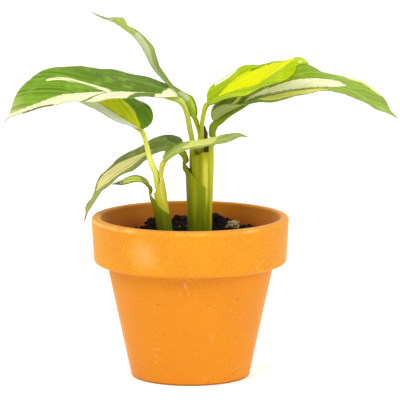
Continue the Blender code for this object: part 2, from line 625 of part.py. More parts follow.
def make_toppings(root):
    """Lumps on the mix, each placed by its direction and its share of the way to the wall."""
    rng = random.Random(11)
    edge = inner_wall_radius(MIX_HEIGHT) - GAP

    def place(degrees, share):
        turn = math.radians(degrees)
        return edge * share * math.cos(turn), edge * share * math.sin(turn)

    chips = [(151, 0.81, (9, 5, 3)), (126, 0.79, (7, 5, 3.5)), (97, 0.71, (10, 5, 3)),
             (63, 0.65, (6, 5, 4)), (36, 0.87, (8, 5, 3.5)), (6, 0.82, (7, 4, 3)),
             (-30, 0.6, (9, 6, 3)), (-99, 0.56, (8, 5, 3)), (204, 0.73, (9, 5, 3))]
    for i, (degrees, share, size) in enumerate(chips, start=1):
        make_lump(f"bark_chip_{i}", place(degrees, share), size, "bark", rng, root)
    make_lump("pale_crumb", place(34, 0.62), (6.5, 5, 4), "crumb", rng, root, detail=2)
    grains = [(129, 0.55, 2.4), (77, 0.48, 2.0), (21, 0.76, 2.2), (177, 0.81, 2.4)]
    for i, (degrees, share, size) in enumerate(grains, start=1):
        make_lump(f"perlite_grain_{i}", place(degrees, share), (size, size, size * 0.8), "perlite",
                  rng, root)


def centre_footprint(root):
    """Moves the model so that the middle of its footprint is the origin."""
    bpy.context.view_layer.update()
    points = []
    for item in bpy.data.objects:
        if item.type == "MESH" and not item.hide_render:
            points += [item.matrix_world @ vert.co for vert in item.data.vertices]
    points = np.array(points)
    low, high = points.min(axis=0), points.max(axis=0)
    root.location = (-(low[0] + high[0]) / 2, -(low[1] + high[1]) / 2, -low[2])
    for item in bpy.data.objects:
        if item.hide_render:
            item.parent = root


def main():
    for item in list(bpy.data.objects):
        bpy.data.objects.remove(item)
    root = bpy.data.objects.new("potted_ctenanthe", None)
    bpy.context.collection.objects.link(root)
    make_pot(root)
    make_rhizome(root)
    make_mix(root)
    for name, leaf in LEAVES.items():
        make_stalk(name, leaf, root)
        make_blade(name, leaf, root)
    make_dried_tip(root)
    make_toppings(root)
    centre_footprint(root)


main()
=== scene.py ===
"""Looks of the potted ctenanthe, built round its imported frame.

Sizes are in millimetres from the pot's own axis, and MM turns them into metres.  Heights in the
leaf tables are counted from the surface of the potting mix.
"""
import math
import random

import bpy
import numpy as np
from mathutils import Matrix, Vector, noise


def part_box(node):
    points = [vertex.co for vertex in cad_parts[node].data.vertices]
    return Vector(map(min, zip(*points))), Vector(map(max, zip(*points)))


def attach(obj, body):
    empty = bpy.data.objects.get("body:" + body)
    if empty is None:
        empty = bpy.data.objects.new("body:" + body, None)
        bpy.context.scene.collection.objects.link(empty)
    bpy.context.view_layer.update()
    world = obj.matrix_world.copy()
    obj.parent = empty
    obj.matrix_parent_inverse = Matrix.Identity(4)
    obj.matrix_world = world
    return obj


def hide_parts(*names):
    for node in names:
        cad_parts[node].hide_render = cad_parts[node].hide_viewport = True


MM = 0.001
UP = np.array([0.0, 0.0, 1.0])

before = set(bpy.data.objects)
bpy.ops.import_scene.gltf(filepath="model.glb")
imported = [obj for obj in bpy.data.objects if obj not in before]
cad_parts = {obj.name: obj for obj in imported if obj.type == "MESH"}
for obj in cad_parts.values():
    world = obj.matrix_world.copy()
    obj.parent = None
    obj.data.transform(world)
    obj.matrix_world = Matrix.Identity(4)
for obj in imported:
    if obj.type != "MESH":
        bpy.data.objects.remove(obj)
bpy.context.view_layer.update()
pot_low, pot_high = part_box("pot")
POT_AXIS = np.array([(pot_low.x + pot_high.x) / 2, (pot_low.y + pot_high.y) / 2, 0.0])

# Pot
RIM_RADIUS = (pot_high.x - pot_low.x) / 2 / MM
POT_HEIGHT = pot_high.z / MM
BAND_HEIGHT = 26.0
BAND_TAPER = 1.2
BAND_STEP = 7.3
BASE_RADIUS = 33.2
RIM_WALL = 5.2
BODY_WALL = 4.7
FLOOR_THICKNESS = 6.0
HOLE_RADIUS = 6.0
LIP_ROUND = 1.9
BAND_ROUND = 2.2
BASE_ROUND = 1.2
POT_FACETS = 192
BAND_FOOT = RIM_RADIUS - BAND_TAPER
BODY_TOP = BAND_FOOT - BAND_STEP
MOUTH = RIM_RADIUS - RIM_WALL
THROAT = POT_HEIGHT - BAND_HEIGHT - 4
MIX_HEIGHT = POT_HEIGHT - 10.5

# Leaves and their sheaths.  A sheath opens to a strip at STRIP_AT of its way to a free stalk
SHEATH_WALL = 0.85
SHEATH_GAP = 0.4
SHEATH_FOOT = -10.1
STRIP_AT = 0.45
STRIP_WRAP = 60.0
SHEATH_ROWS = 34
OPENING_ROWS = 26
STALK_ROWS = 40
ARC_STEPS = 22
SPINE_SPACING = 0.55
SPINE_REACH = 4
STALK_HOLLOW = 0.2
STALK_FILL = 0.9
KNEE_SWELLING = 0.22
KNEE_BELOW_BLADE = 2.0
KNEE_LENGTH = 2.4
RIB_ROWS = 70
RIB_TAPER = 2.6
BLADE_ROWS = 170
BLADE_COLUMNS = 38
BLADE_THICKNESS = 0.34
VEIN_SLOPE = 2.1
PLEAT_SPACING = 2.8


# ---------------------------------------------------------------- small helpers

def in_metres(points):
    return np.asarray(points, float) * MM + POT_AXIS


def pick(*pieces):
    """Selects these pieces alone, the first one as the active one."""
    bpy.ops.object.select_all(action="DESELECT")
    for piece in pieces:
        piece.select_set(True)
        bpy.context.view_layer.objects.active = pieces[0]


def edit(piece):
    pick(piece)
    bpy.ops.object.mode_set(mode="EDIT")
    bpy.ops.mesh.select_all(action="SELECT")


def leave_edit():
    """Turns every face outwards and leaves edit mode."""
    bpy.ops.mesh.select_all(action="SELECT")
    bpy.ops.mesh.normals_make_consistent(inside=False)
    bpy.ops.object.mode_set(mode="OBJECT")


def newest(name):
    """The piece just added, renamed."""
    made = bpy.context.object
    made.name = name
    return made


def joined(name, pieces):
    pick(*pieces)
    bpy.ops.object.join()
    return newest(name)


def sheet(name, points):
    """A grid, its vertices moved to points: rows along the piece, columns across it."""
    rows, columns = points.shape[:2]
    pick()
    bpy.ops.mesh.primitive_grid_add(x_subdivisions=columns - 1, y_subdivisions=rows - 1, size=1)
    made = newest(name)
    made.data.name = name
    made.data.vertices.foreach_set("co", in_metres(points).astype(np.float32).ravel())
    made.data.update()
    return made


def give_places(piece, name, values):
    """Stores three numbers at every vertex, for the materials to follow the surface by."""
    kept = piece.data.attributes.new(name, "FLOAT_VECTOR", "POINT")
    kept.data.foreach_set("vector", np.asarray(values, np.float32).ravel())


def close_tube(piece):
    """Joins the two long edges of a rolled-up sheet and fills its ends."""
    edit(piece)
    bpy.ops.mesh.remove_doubles(threshold=1e-7)
    bpy.ops.mesh.select_all(action="DESELECT")
    bpy.ops.mesh.select_non_manifold()
    bpy.ops.mesh.fill(use_beauty=False)
    leave_edit()


def smooth_shading(piece, degrees=60):
    pick(piece)
    bpy.ops.object.shade_smooth_by_angle(angle=math.radians(degrees))


def finish_piece(piece, slot, *nodes, material=None):
    if material:
        piece.data.materials.append(material)
    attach(piece, "root")
    if nodes:
        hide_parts(*nodes)


def along_path(path, places, run):
    return np.stack([np.interp(places, run, path[:, k]) for k in range(3)], axis=1)


def run_of(path):
    """How far along a path each of its points is."""
    return np.concatenate(([0], np.cumsum(np.linalg.norm(np.diff(path, axis=0), axis=1))))


def turned_along(out, way):
    """out, made square to the way and one long again."""
    out = out - way * np.dot(out, way)
    return out / np.linalg.norm(out)


def ease(t):
    t = np.clip(t, 0, 1)
    return t * t * (3 - 2 * t)


# ---------------------------------------------------------------- materials

def linear(hex_code):
    """An sRGB hex code as linear red, green and blue."""
    parts = [int(hex_code[i:i + 2], 16) / 255 for i in (1, 3, 5)]
    return tuple(p / 12.92 if p <= 0.04045 else ((p + 0.055) / 1.055) ** 2.4 for p in parts)


def paint(hex_code):
    return (*linear(hex_code), 1)


def softened(hex_code, towards, share):
    """A colour moved towards another, both as hex codes."""
    a, b = ([int(code[i:i + 2], 16) for i in (1, 3, 5)] for code in (hex_code, towards))
    return "#" + "".join(f"{round(p + (q - p) * share):02X}" for p, q in zip(a, b))


def add(tree, kind, fields=None, **sockets):
    """Adds a node, sets its fields, and sets or links its input sockets, named with _ for spaces."""
    made = tree.nodes.new(kind)
    for field, value in (fields or {}).items():
        setattr(made, field, value)
    for name, value in sockets.items():
        place = int(name[1:]) if name[0] == "i" and name[1:].isdigit() else name.replace("_", " ")
        if isinstance(value, bpy.types.NodeSocket):
            tree.links.new(value, made.inputs[place])
        else:
            made.inputs[place].default_value = value
    return made


class Skin:
    """A material under way, with short names for what its nodes do."""

    def __init__(self, name):
        self.made = bpy.data.materials.new(name)
        self.made.use_nodes = True
        self.tree = self.made.node_tree
        self.where = add(self.tree, "ShaderNodeTexCoord").outputs["Object"]

    def stored(self, name, output="Vector"):
        """A vertex attribute of the piece."""
        return add(self.tree, "ShaderNodeAttribute", {"attribute_name": name}).outputs[output]

    def axes(self, vector):
        return list(add(self.tree, "ShaderNodeSeparateXYZ", Vector=vector).outputs)

    def place(self, x, y, z):
        return add(self.tree, "ShaderNodeCombineXYZ", X=x, Y=y, Z=z).outputs[0]

    def mapped(self, vector, **sockets):
        return add(self.tree, "ShaderNodeMapping", Vector=vector, **sockets).outputs[0]

    def vector(self, how, a, b=(0, 0, 0), output=0):
        return add(self.tree, "ShaderNodeVectorMath", {"operation": how}, i0=a, i1=b).outputs[output]

    def noise(self, scale, detail=2.0, roughness=0.5, at=None):
        return add(self.tree, "ShaderNodeTexNoise", Vector=at or self.where, Scale=scale,
                   Detail=detail, Roughness=roughness).outputs["Fac"]

    def dots(self, scale, outer, inner, at=None):
        """1 in a dot round each cell's point and 0 outside it."""
        cells = add(self.tree, "ShaderNodeTexVoronoi", {"feature": "F1"}, Vector=at or self.where,
                    Scale=scale)
        return self.between(cells.outputs["Distance"], outer, inner)

    def maths(self, how, a, b=0.0):
        return add(self.tree, "ShaderNodeMath", {"operation": how}, i0=a, i1=b).outputs[0]

    def times(self, first, *others):
        for other in others:
            first = self.maths("MULTIPLY", first, other)
        return first

    def plus(self, first, *others):
        for other in others:
            first = self.maths("ADD", first, other)
        return first

    def off(self, value, middle):
        """How far a value is from a middle, to either side."""
        return self.maths("ABSOLUTE", self.maths("SUBTRACT", value, middle))

    def between(self, value, low, high, out_low=0.0, out_high=1.0):
        """Eases from out_low to out_high while value goes from low to high."""
        return add(self.tree, "ShaderNodeMapRange", {"interpolation_type": "SMOOTHSTEP"}, Value=value,
                   From_Min=low, From_Max=high, To_Min=out_low, To_Max=out_high).outputs["Result"]

    def ramp(self, factor, *stops):
        """A colour ramp: stops are (place, hex code)."""
        made = add(self.tree, "ShaderNodeValToRGB", Fac=factor)
        marks = made.color_ramp.elements
        while len(marks) < len(stops):
            marks.new(0.5)
        for mark, (place, hex_code) in zip(marks, stops):
            mark.position = place
            mark.color = paint(hex_code)
        return made.outputs["Color"]

    def over(self, tone, colour, *shares):
        """tone under a colour, a socket or a hex code, that covers the product of the shares."""
        if isinstance(colour, str):
            colour = paint(colour)
        return add(self.tree, "ShaderNodeMix", {"data_type": "RGBA"}, i0=self.times(*shares), i6=tone,
                   i7=colour).outputs[2]

    def patterned(self, tone, *layers):
        """tone under layers of (pattern, its value where it starts, and is full, share, colour)."""
        for pattern, start, full, share, colour in layers:
            tone = self.over(tone, colour, self.between(pattern, start, full, 0, share))
        return tone

    def fresher(self, tone, saturation, value):
        return add(self.tree, "ShaderNodeHueSaturation", Saturation=saturation, Value=value,
                   Color=tone).outputs["Color"]

    def finish(self, bump=None, **sockets):
        """Sets or links the shader's sockets; bump is (strength, distance in metres, height)."""
        shader = self.tree.nodes["Principled BSDF"]
        if bump:
            sockets["Normal"] = add(self.tree, "ShaderNodeBump", Strength=bump[0], Distance=bump[1],
                                    Height=bump[2]).outputs["Normal"]
        for name, value in sockets.items():
            socket = shader.inputs[name.replace("_", " ")]
            if isinstance(value, bpy.types.NodeSocket):
                self.tree.links.new(value, socket)
            else:
                socket.default_value = value
        return self.made


def leaf_material(name, looks, underside):
    """Living leaf skin with a thin wax cuticle: satin above, matt and greyer beneath.

    It shows the tissue's sectors with edges that run along the side veins, and fine paler veins.
    """
    skin = Skin(name)
    vein, across, along = skin.axes(skin.stored("leaf_place"))
    fields = skin.axes(skin.stored("tissue_edges"))
    margin = skin.stored("margin_gap", "Fac")

    # Bands about 3 mm and streaks about 1.2 mm apart that follow the side veins
    hand = skin.times(skin.maths("SIGN", across), 40.0)
    bands = skin.noise(1.0, at=skin.place(skin.times(vein, 0.34), skin.times(across, 0.045), hand))
    streaks = skin.noise(1.0, 3.0, 0.6,
                         skin.place(skin.times(vein, 0.85), skin.times(across, 0.06), hand))
    # Blotches about 8 mm across
    blotches = skin.noise(125.0, 3.0, 0.6)

    greens = looks["under" if underside else "greens"].split()
    dark = softened(looks["dark"], "#8FA070", 0.5) if underside else looks["dark"]
    tone = skin.ramp(along, *zip((0.0, 0.42, 0.84, 0.985), greens))
    tone = skin.patterned(tone, (bands, 0.50, 0.66, 0.60, dark),
                          (bands, 0.47, 0.32, 0.55, looks["light"]),
                          (blotches, 0.50, 0.72, 0.50, looks["light"]),
                          (streaks, 0.54, 0.68, 0.45, dark))
    wobble = skin.plus(skin.times(skin.maths("SUBTRACT", streaks, 0.5), 3.0),
                       skin.times(skin.maths("SUBTRACT", bands, 0.5), 4.0))
    for kind, field in zip(SECTORS, fields):
        if kind not in looks["sectors"]:
            continue
        colour = looks["sectors"][kind][0]
        if underside:
            colour = softened(colour, "#A9B48A", 0.45)
        shadow = softened(colour, looks["dark"], 0.42 if kind == "yellow" else 0.26)
        distance = skin.plus(field, 0.0 if kind == "deep" else wobble)
        shaded = skin.patterned(paint(colour), (streaks, 0.50, 0.70, 0.60, shadow),
                                (bands, 0.52, 0.68, 0.45, shadow))
        tone = skin.over(tone, shaded, skin.between(distance, -0.25, 0.25))
        # A darker brim of tissue round each sector
        if kind != "deep":
            brim = skin.between(skin.off(distance, -0.45), 0.5, 0.1)
            tone = skin.over(tone, looks["dark"], brim, 0.30)

    # Side veins 1.1 mm apart, drawn a little wider than they are so that they show
    ridges = skin.maths("SINE", skin.times(vein, math.tau / 1.1))
    tone = skin.over(tone, looks["vein"], skin.between(ridges, 0.55, 1.0),
                     skin.between(bands, 0.3, 0.7), 0.30)
    near_rib = skin.between(skin.off(across, 0.0), 0.80, 0.20)
    tone = skin.over(tone, looks["rib"], near_rib, looks["rib_share"])
    # The margin dries to a thin dark line
    tone = skin.over(tone, looks["rim"], skin.between(margin, 0.55, 0.15), looks["rim_share"])
    # Light scale spots, a few tenths of a millimetre across, drawn at 0.7 mm so that they show
    tone = skin.over(tone, looks["vein"], skin.dots(480.0, 0.24, 0.10),
                     skin.between(skin.noise(90.0, 1.0), 0.54, 0.62), 0.45)

    height = skin.plus(skin.times(ridges, 0.3), skin.times(streaks, 1.6), skin.times(bands, 2.2))
    smooth, rough, gloss = (0.65, 0.80, 0.05) if underside else (0.42, 0.58, 0.12)
    # Light passes a third of a millimetre of tissue, hardly any of it blue
    return skin.finish(bump=(0.9, 0.0004, height),
                       Base_Color=skin.fresher(tone, looks["freshness"], 1.03),
                       Roughness=skin.between(streaks, 0.3, 0.7, smooth, rough), IOR=1.42,
                       Specular_IOR_Level=gloss, Subsurface_Weight=0.45,
                       Subsurface_Radius=(0.8, 1.0, 0.1), Subsurface_Scale=0.0008)


def sheath_material(name, tones, fibre, bands=()):
    """Fleshy leaf sheath and stalk: smooth, slightly glossy, with fine lengthwise fibres."""
    skin = Skin(name)
    tones = tones.split()
    place = skin.stored("stalk_place")
    along = skin.axes(place)[2]
    # Fibres about 0.5 mm apart, stripes about 2.4 mm, both drawn out along the stalk
    fibres = skin.noise(1.2, 4.0, 0.65, skin.mapped(place, Scale=(1.7, 1.7, 0.04)))
    stripes = skin.noise(1.0, at=skin.mapped(place, Scale=(0.42, 0.42, 0.022)))
    tone = skin.ramp(skin.maths("DIVIDE", along, 80.0), *zip((0.06, 0.26, 0.55, 0.80), tones))
    tone = skin.patterned(tone, (stripes, 0.50, 0.72, 0.30, softened(tones[2], "#FFF68C", 0.40)),
                          (stripes, 0.46, 0.26, 0.30, softened(tones[0], "#4A4208", 0.45)),
                          (fibres, 0.55, 0.72, 0.28, fibre),
                          (fibres, 0.45, 0.28, 0.28, softened(tones[0], "#3E3A06", 0.5)))
    tone = skin.over(tone, "#5A4A18", skin.dots(0.55, 0.16, 0.08, place), 0.4)
    # Pale, yellow, brown or darker bands across given widths and between given heights, painted highlights
    # among them
    side = skin.axes(skin.where)[0]
    for middle, half_wide, low, high, share, hex_code in bands:
        gap = skin.off(side, middle * MM + POT_AXIS[0])
        tone = skin.over(tone, hex_code, skin.between(gap, half_wide * MM, half_wide * 0.35 * MM),
                         skin.between(along, low, low + 12), skin.between(along, high, high - 8),
                         skin.between(fibres, 0.30, 0.55, 0.45, 1.0), share)
    height = skin.plus(fibres, skin.times(stripes, 0.5))
    return skin.finish(bump=(0.7, 0.00025, height), Base_Color=skin.fresher(tone, 1.15, 1.0),
                       Roughness=skin.between(fibres, 0.3, 0.7, 0.38, 0.55), IOR=1.42,
                       Specular_IOR_Level=0.20, Subsurface_Weight=0.10,
                       Subsurface_Radius=(0.8, 1.0, 0.15), Subsurface_Scale=0.0008)


# Where a painted highlight, a soft lamp's reflection, sits on the band, in metres
BAND_HIGHLIGHT_PLACE = (-0.030, -0.046, 0.077)


def terracotta_material():
    """Unglazed earthenware, machine pressed and fired orange: matt, with a faint dusty bloom,
    pale mineral specks, a few scratches and dark pits."""
    skin = Skin("terracotta_fired_matt")
    up = skin.axes(skin.where)[2]
    mottle = skin.noise(38.0, 5.0, 0.6)
    # Clay grit of about 0.4 mm, drawn at 0.7 mm so that it shows
    grit = skin.noise(1400.0, 2.0, 0.6)
    tone = skin.ramp(mottle, (0.30, "#CB7F10"), (0.50, "#D18510"), (0.72, "#D68C14"))
    tone = skin.patterned(tone, (grit, 0.50, 0.72, 0.40, "#F7AE3C"), (grit, 0.46, 0.28, 0.38, "#C9700C"))

    # The wall inside is darker towards the mix: partly damp clay, partly painted shade deepening into the
    # pot
    lip = POT_HEIGHT * MM
    band_foot = (POT_HEIGHT - BAND_HEIGHT) * MM
    flat = skin.vector("MULTIPLY", skin.vector("SUBTRACT", skin.where, tuple(POT_AXIS)), (1, 1, 0))
    radius = skin.vector("LENGTH", flat, output="Value")
    tone = skin.over(tone, "#AC420A", skin.between(radius, (MOUTH + 1.2) * MM, (MOUTH + 0.1) * MM),
                     skin.between(up, band_foot + 0.0005, band_foot + 0.0015),
                     skin.between(up, lip - 0.001, lip - 0.014, 0.25, 0.78))

    # Painted shade on the body below the band, a little darker and redder than the band
    tone = skin.patterned(tone, (up, band_foot + 0.0015, band_foot - 0.004, 0.45, "#CE720C"))
    # A pale patch on the band: a painted highlight, the soft reflection of a lamp
    away = skin.vector("DISTANCE", skin.where, BAND_HIGHLIGHT_PLACE, "Value")
    tone = skin.over(tone, "#FFD9A8", skin.between(away, 0.0130, 0.0010),
                     skin.between(mottle, 0.40, 0.58, 0.2, 1.0), 0.15)
    # The lip's outer edge is paler in places, partly wear and partly a painted highlight; the foot carries
    # a painted contact shadow
    tone = skin.over(tone, "#FFD68C", skin.between(up, lip - 0.0028, lip - 0.0016),
                     skin.between(up, lip - 0.0002, lip - 0.0010),
                     skin.between(skin.noise(34.0, 4.0), 0.44, 0.60, 0.10, 1.0),
                     skin.between(radius, (RIM_RADIUS - 2.2) * MM, (RIM_RADIUS - 1.2) * MM), 0.42)
    # Painted contact shadow round the foot, where it stands on the floor
    tone = skin.patterned(tone, (up, 0.0016, 0.0004, 0.7, "#6E3A10"))

    # Pale lime specks, sparse and about 0.6 mm across, gathered in a few places
    tone = skin.over(tone, "#F7D9A0", skin.dots(620.0, 0.26, 0.14),
                     skin.between(skin.noise(62.0, 1.0), 0.60, 0.72), 0.40)
    # Dark pits of about 1 mm, a handful over the whole pot
    pits = skin.dots(95.0, 0.060, 0.035)
    tone = skin.over(tone, "#7A3A10", pits, 0.5)
    # Fine scratches: thin upright lines left where stretched noise crosses one value
    stretched = skin.mapped(skin.where, Rotation=(0, math.radians(24), 0), Scale=(160, 160, 9))
    crossing = skin.off(skin.noise(1.0, 1.0, at=stretched), 0.62)
    tone = skin.over(tone, "#FBE0B4", skin.between(crossing, 0.0045, 0.0015),
                     skin.between(skin.noise(30.0, 0.0), 0.58, 0.66), 0.14)

    height = skin.plus(skin.times(grit, 0.8), skin.times(mottle, 1.2), skin.times(pits, -2.5))
    return skin.finish(bump=(0.45, 0.00018, height), Base_Color=tone,
                       Roughness=skin.between(mottle, 0.3, 0.7, 0.55, 0.70), IOR=1.5,
                       Specular_IOR_Level=0.16, Sheen_Weight=0.45, Sheen_Roughness=0.35,
                       Sheen_Tint=paint("#FFD9A0"))


def earth_material(name, dark, light, grain_mm, roughness=0.95):
    """Peat, bark or stone with a broken, light-swallowing surface, in two tones."""
    skin = Skin(name)
    grain = skin.noise(1000.0 / grain_mm, 4.0, 0.7)
    return skin.finish(bump=(0.8, 0.0005, grain), Roughness=roughness, Specular_IOR_Level=0.25,
                       Base_Color=skin.ramp(grain, (0.36, dark), (0.70, light)))


def floor_material():
    """White matt acrylic lit a little from beneath, so that the object casts only a faint shade."""
    skin = Skin("acrylic_white_matt")
    tone = skin.ramp(skin.noise(300.0), (0.3, "#F1F1F0"), (0.7, "#F5F5F4"))
    return skin.finish(Base_Color=tone, Roughness=0.95, Specular_IOR_Level=0.1,
                       Emission_Color=paint("#FFFFFF"), Emission_Strength=0.25)


# ---------------------------------------------------------------- the plant's own data

# Each shoot: its foot (x, y), how far it leans a millimetre, the radius of its innermost stalk
SHOOTS = {
    "main": {"foot": (5.9, 4.0), "lean": (-0.005, 0), "core": 2.2, "core_taper": 0.011},
    "side": {"foot": (-13.1, -5.0), "lean": (-0.17, 0), "core": 2.0, "core_taper": 0.006},
}

# Each leaf: its sheath's layer counted from the middle, the way it faces in degrees, how far it wraps to
# each side, where it opens and where the stalk is free.  stalk and midrib are points (x, y, height),
# lift is (share of the length, degrees that the left and the right half rise), waist narrows the blade
LEAVES = {
    "large_left": dict(
        shoot="main", layer=2, faces=180, wrap=125, opens=40, free=53, slack=2, stalk_radius=1.5,
        half_width=22, widest=0.34, blunt=3.2, curl=-14,
        stalk=[(-0.4, 3.5, 59.5), (-1.6, 3.5, 66.5), (-3.6, 3.4, 72.5)],
        midrib=[(-6.8, 3, 76.3), (-14, 1, 78.5), (-29.5, -2, 80.1), (-47.7, -5, 80.7), (-61, -7, 80.2),
                (-72, -8, 78.9), (-85.7, -9, 74), (-97.8, -10, 69.1), (-103.4, -10, 64.6)],
        lift=[(0, 5, 40), (0.08, 1, 21), (0.3, 0, 25), (0.5, -5, 33), (0.7, -3, 50), (0.85, 0, 50),
              (0.93, 0, 14), (1, 0, 0)]),
    "rolled_young": dict(
        shoot="main", layer=0, faces=120, opens=50, free=56, stalk_radius=1.15, half_width=9.5,
        widest=0.5, blunt=2.4, curl=70,
        stalk=[(4.2, 5.2, 59.5), (3.4, 5.8, 63)],
        midrib=[(2.9, 5.5, 65.3), (-1.6, 6.5, 71.3), (-5.7, 7.5, 76.2), (-11.3, 9, 82.8),
                (-20.8, 11, 92.6), (-26, 12, 102.6), (-31.9, 13, 110.3), (-36.9, 13, 113.9),
                (-42.4, 13, 117.8), (-48, 13, 119.5), (-54.6, 13, 123.2)],
        waist=[(0, 1), (0.12, 1), (0.2, 0.62), (0.26, 0.32), (0.36, 0.6), (0.46, 0.88), (0.54, 1),
               (0.63, 0.74), (0.7, 0.56), (0.75, 0.44), (0.805, 1.08), (0.84, 0.8), (0.88, 0.52),
               (0.92, 0.6), (0.96, 0.45), (1, 0.3)],
        lift=[(0, 60, 60), (0.1, 75, 70), (0.18, 56, 26), (0.27, 40, 8), (0.5, 47, 22), (0.6, 55, 27),
              (0.75, 52, 42), (0.9, 30, 18), (1, 5, 0)]),
    "upper_right": dict(
        shoot="main", layer=1, faces=-65, wrap=120, opens=49, free=57, stalk_radius=1.25, half_width=17,
        widest=0.3, blunt=2.4, curl=-14,
        stalk=[(6.3, 1.6, 61), (7.2, 1.3, 66.5), (8.3, 1.1, 71.5)],
        midrib=[(9.3, 1, 74.3), (17.6, -1, 78.5), (27.5, -4, 82.2), (36.9, -6, 85.3), (49.5, -9, 94),
                (58.8, -10, 99.7), (65.4, -11, 97.6)],
        lift=[(0, 50, -15), (0.1, 34, -8), (0.25, 40, -9), (0.5, 37, -10), (0.65, 24, -20),
              (0.83, 4, -40), (1, 0, -20)]),
    "large_right": dict(
        shoot="main", layer=3, faces=0, wrap=130, opens=43, free=55, stalk_radius=1.9, half_width=21,
        widest=0.36, blunt=2.4, curl=-14,
        stalk=[(12, 4, 58.2)],
        midrib=[(13.4, 5, 61.9), (19.3, 6, 66.9), (27.7, 7, 71.3), (36.6, 8, 76.2), (49.9, 9, 78.9),
                (61.1, 10, 80.4), (72.2, 10, 81.2), (86.1, 10, 81), (95.6, 9, 77.7), (102.9, 9, 73.2),
                (109.5, 8, 68.9), (115.7, 8, 64.4)],
        lift=[(0, 40, 75), (0.08, 27, 28), (0.18, 28, 7), (0.27, 27, -4), (0.42, 40, -3), (0.5, 38, 0),
              (0.6, 18, 2), (0.68, 12, 0), (0.78, 20, -8), (0.9, 20, -8), (1, 0, 0)]),
    "arching_lower_left": dict(
        shoot="main", layer=4, faces=180, wrap=110, opens=27, free=41, stalk_radius=1.7, half_width=14,
        widest=0.3, blunt=2.2, curl=-10,
        stalk=[(-3.6, 4, 45.1)],
        midrib=[(-6.3, 4, 47.5), (-12.4, 9, 48.1), (-18.6, 12, 46.9), (-25.3, 13, 42.8),
                (-33.1, 13, 37.7), (-40.4, 12, 33.3), (-46.6, 11, 28.4), (-51.3, 10, 23.9),
                (-54.4, 9, 17.9), (-57.7, 8, 11.9), (-59.5, 8, 6.2)],
        lift=[(0, -5, 30), (0.1, -10, 28), (0.25, -7, 22), (0.5, -2, 17), (0.67, 0, 12), (0.78, 8, -13),
              (0.9, 14, 4), (1, 0, 0)]),
    "left_of_side_shoot": dict(
        shoot="side", layer=0, faces=180, opens=30, free=36, stalk_radius=1.75, stalk_end=0.66,
        half_width=19, widest=0.35, blunt=2.4, curl=-10,
        stalk=[(-21.5, -5, 40.5), (-23.6, -4.5, 48.5), (-25.4, -3.8, 55.5)],
        midrib=[(-26.6, -3, 59.5), (-31.9, 2, 61.9), (-40.4, 9, 66), (-47.7, 14, 69.8),
                (-54.5, 20, 72.9), (-61.8, 22, 75.5), (-67.5, 23, 77)],
        lift=[(0, 16, 12), (0.1, 14, 18), (0.3, 13, 22), (0.55, 12, 20), (0.75, 9, 30), (1, 5, 10)]),
    "narrow_front": dict(
        shoot="side", layer=1, faces=-20, wrap=120, opens=24, free=34, slack=1, stalk_radius=1.3,
        half_width=7, widest=0.35, blunt=2.2, curl=15,
        stalk=[(-15.9, -6.2, 38.5)],
        midrib=[(-15.2, -6.5, 42.5), (-12.4, -8, 45.5), (-6.8, -10, 49.1), (-0.1, -11.5, 51.8),
                (8.2, -12.5, 53.3), (19.2, -15, 56.2), (27.5, -17, 58.5), (32.1, -18, 57.5)],
        lift=[(0, 60, -10), (0.1, 48, -25), (0.25, 26, -16), (0.4, 10, -6), (0.65, 21, -15),
              (0.85, 18, -22), (1, 0, 0)]),
    "withered_small": dict(
        shoot="side", layer=2, faces=180, wrap=145, opens=12, free=25, stalk_radius=1, half_width=5,
        widest=0.35, blunt=2.2, curl=30,
        stalk=[(-21.4, -5.6, 27.1)],
        midrib=[(-22.8, -6, 29), (-26.3, -7, 31.8), (-30.7, -8, 32.8), (-36.3, -9, 31.9),
                (-43.5, -10, 30)],
        lift=[(0, -10, 40), (0.2, -10, 20), (0.5, -12, 10), (0.8, -30, 0), (1, 0, 0)]),
}

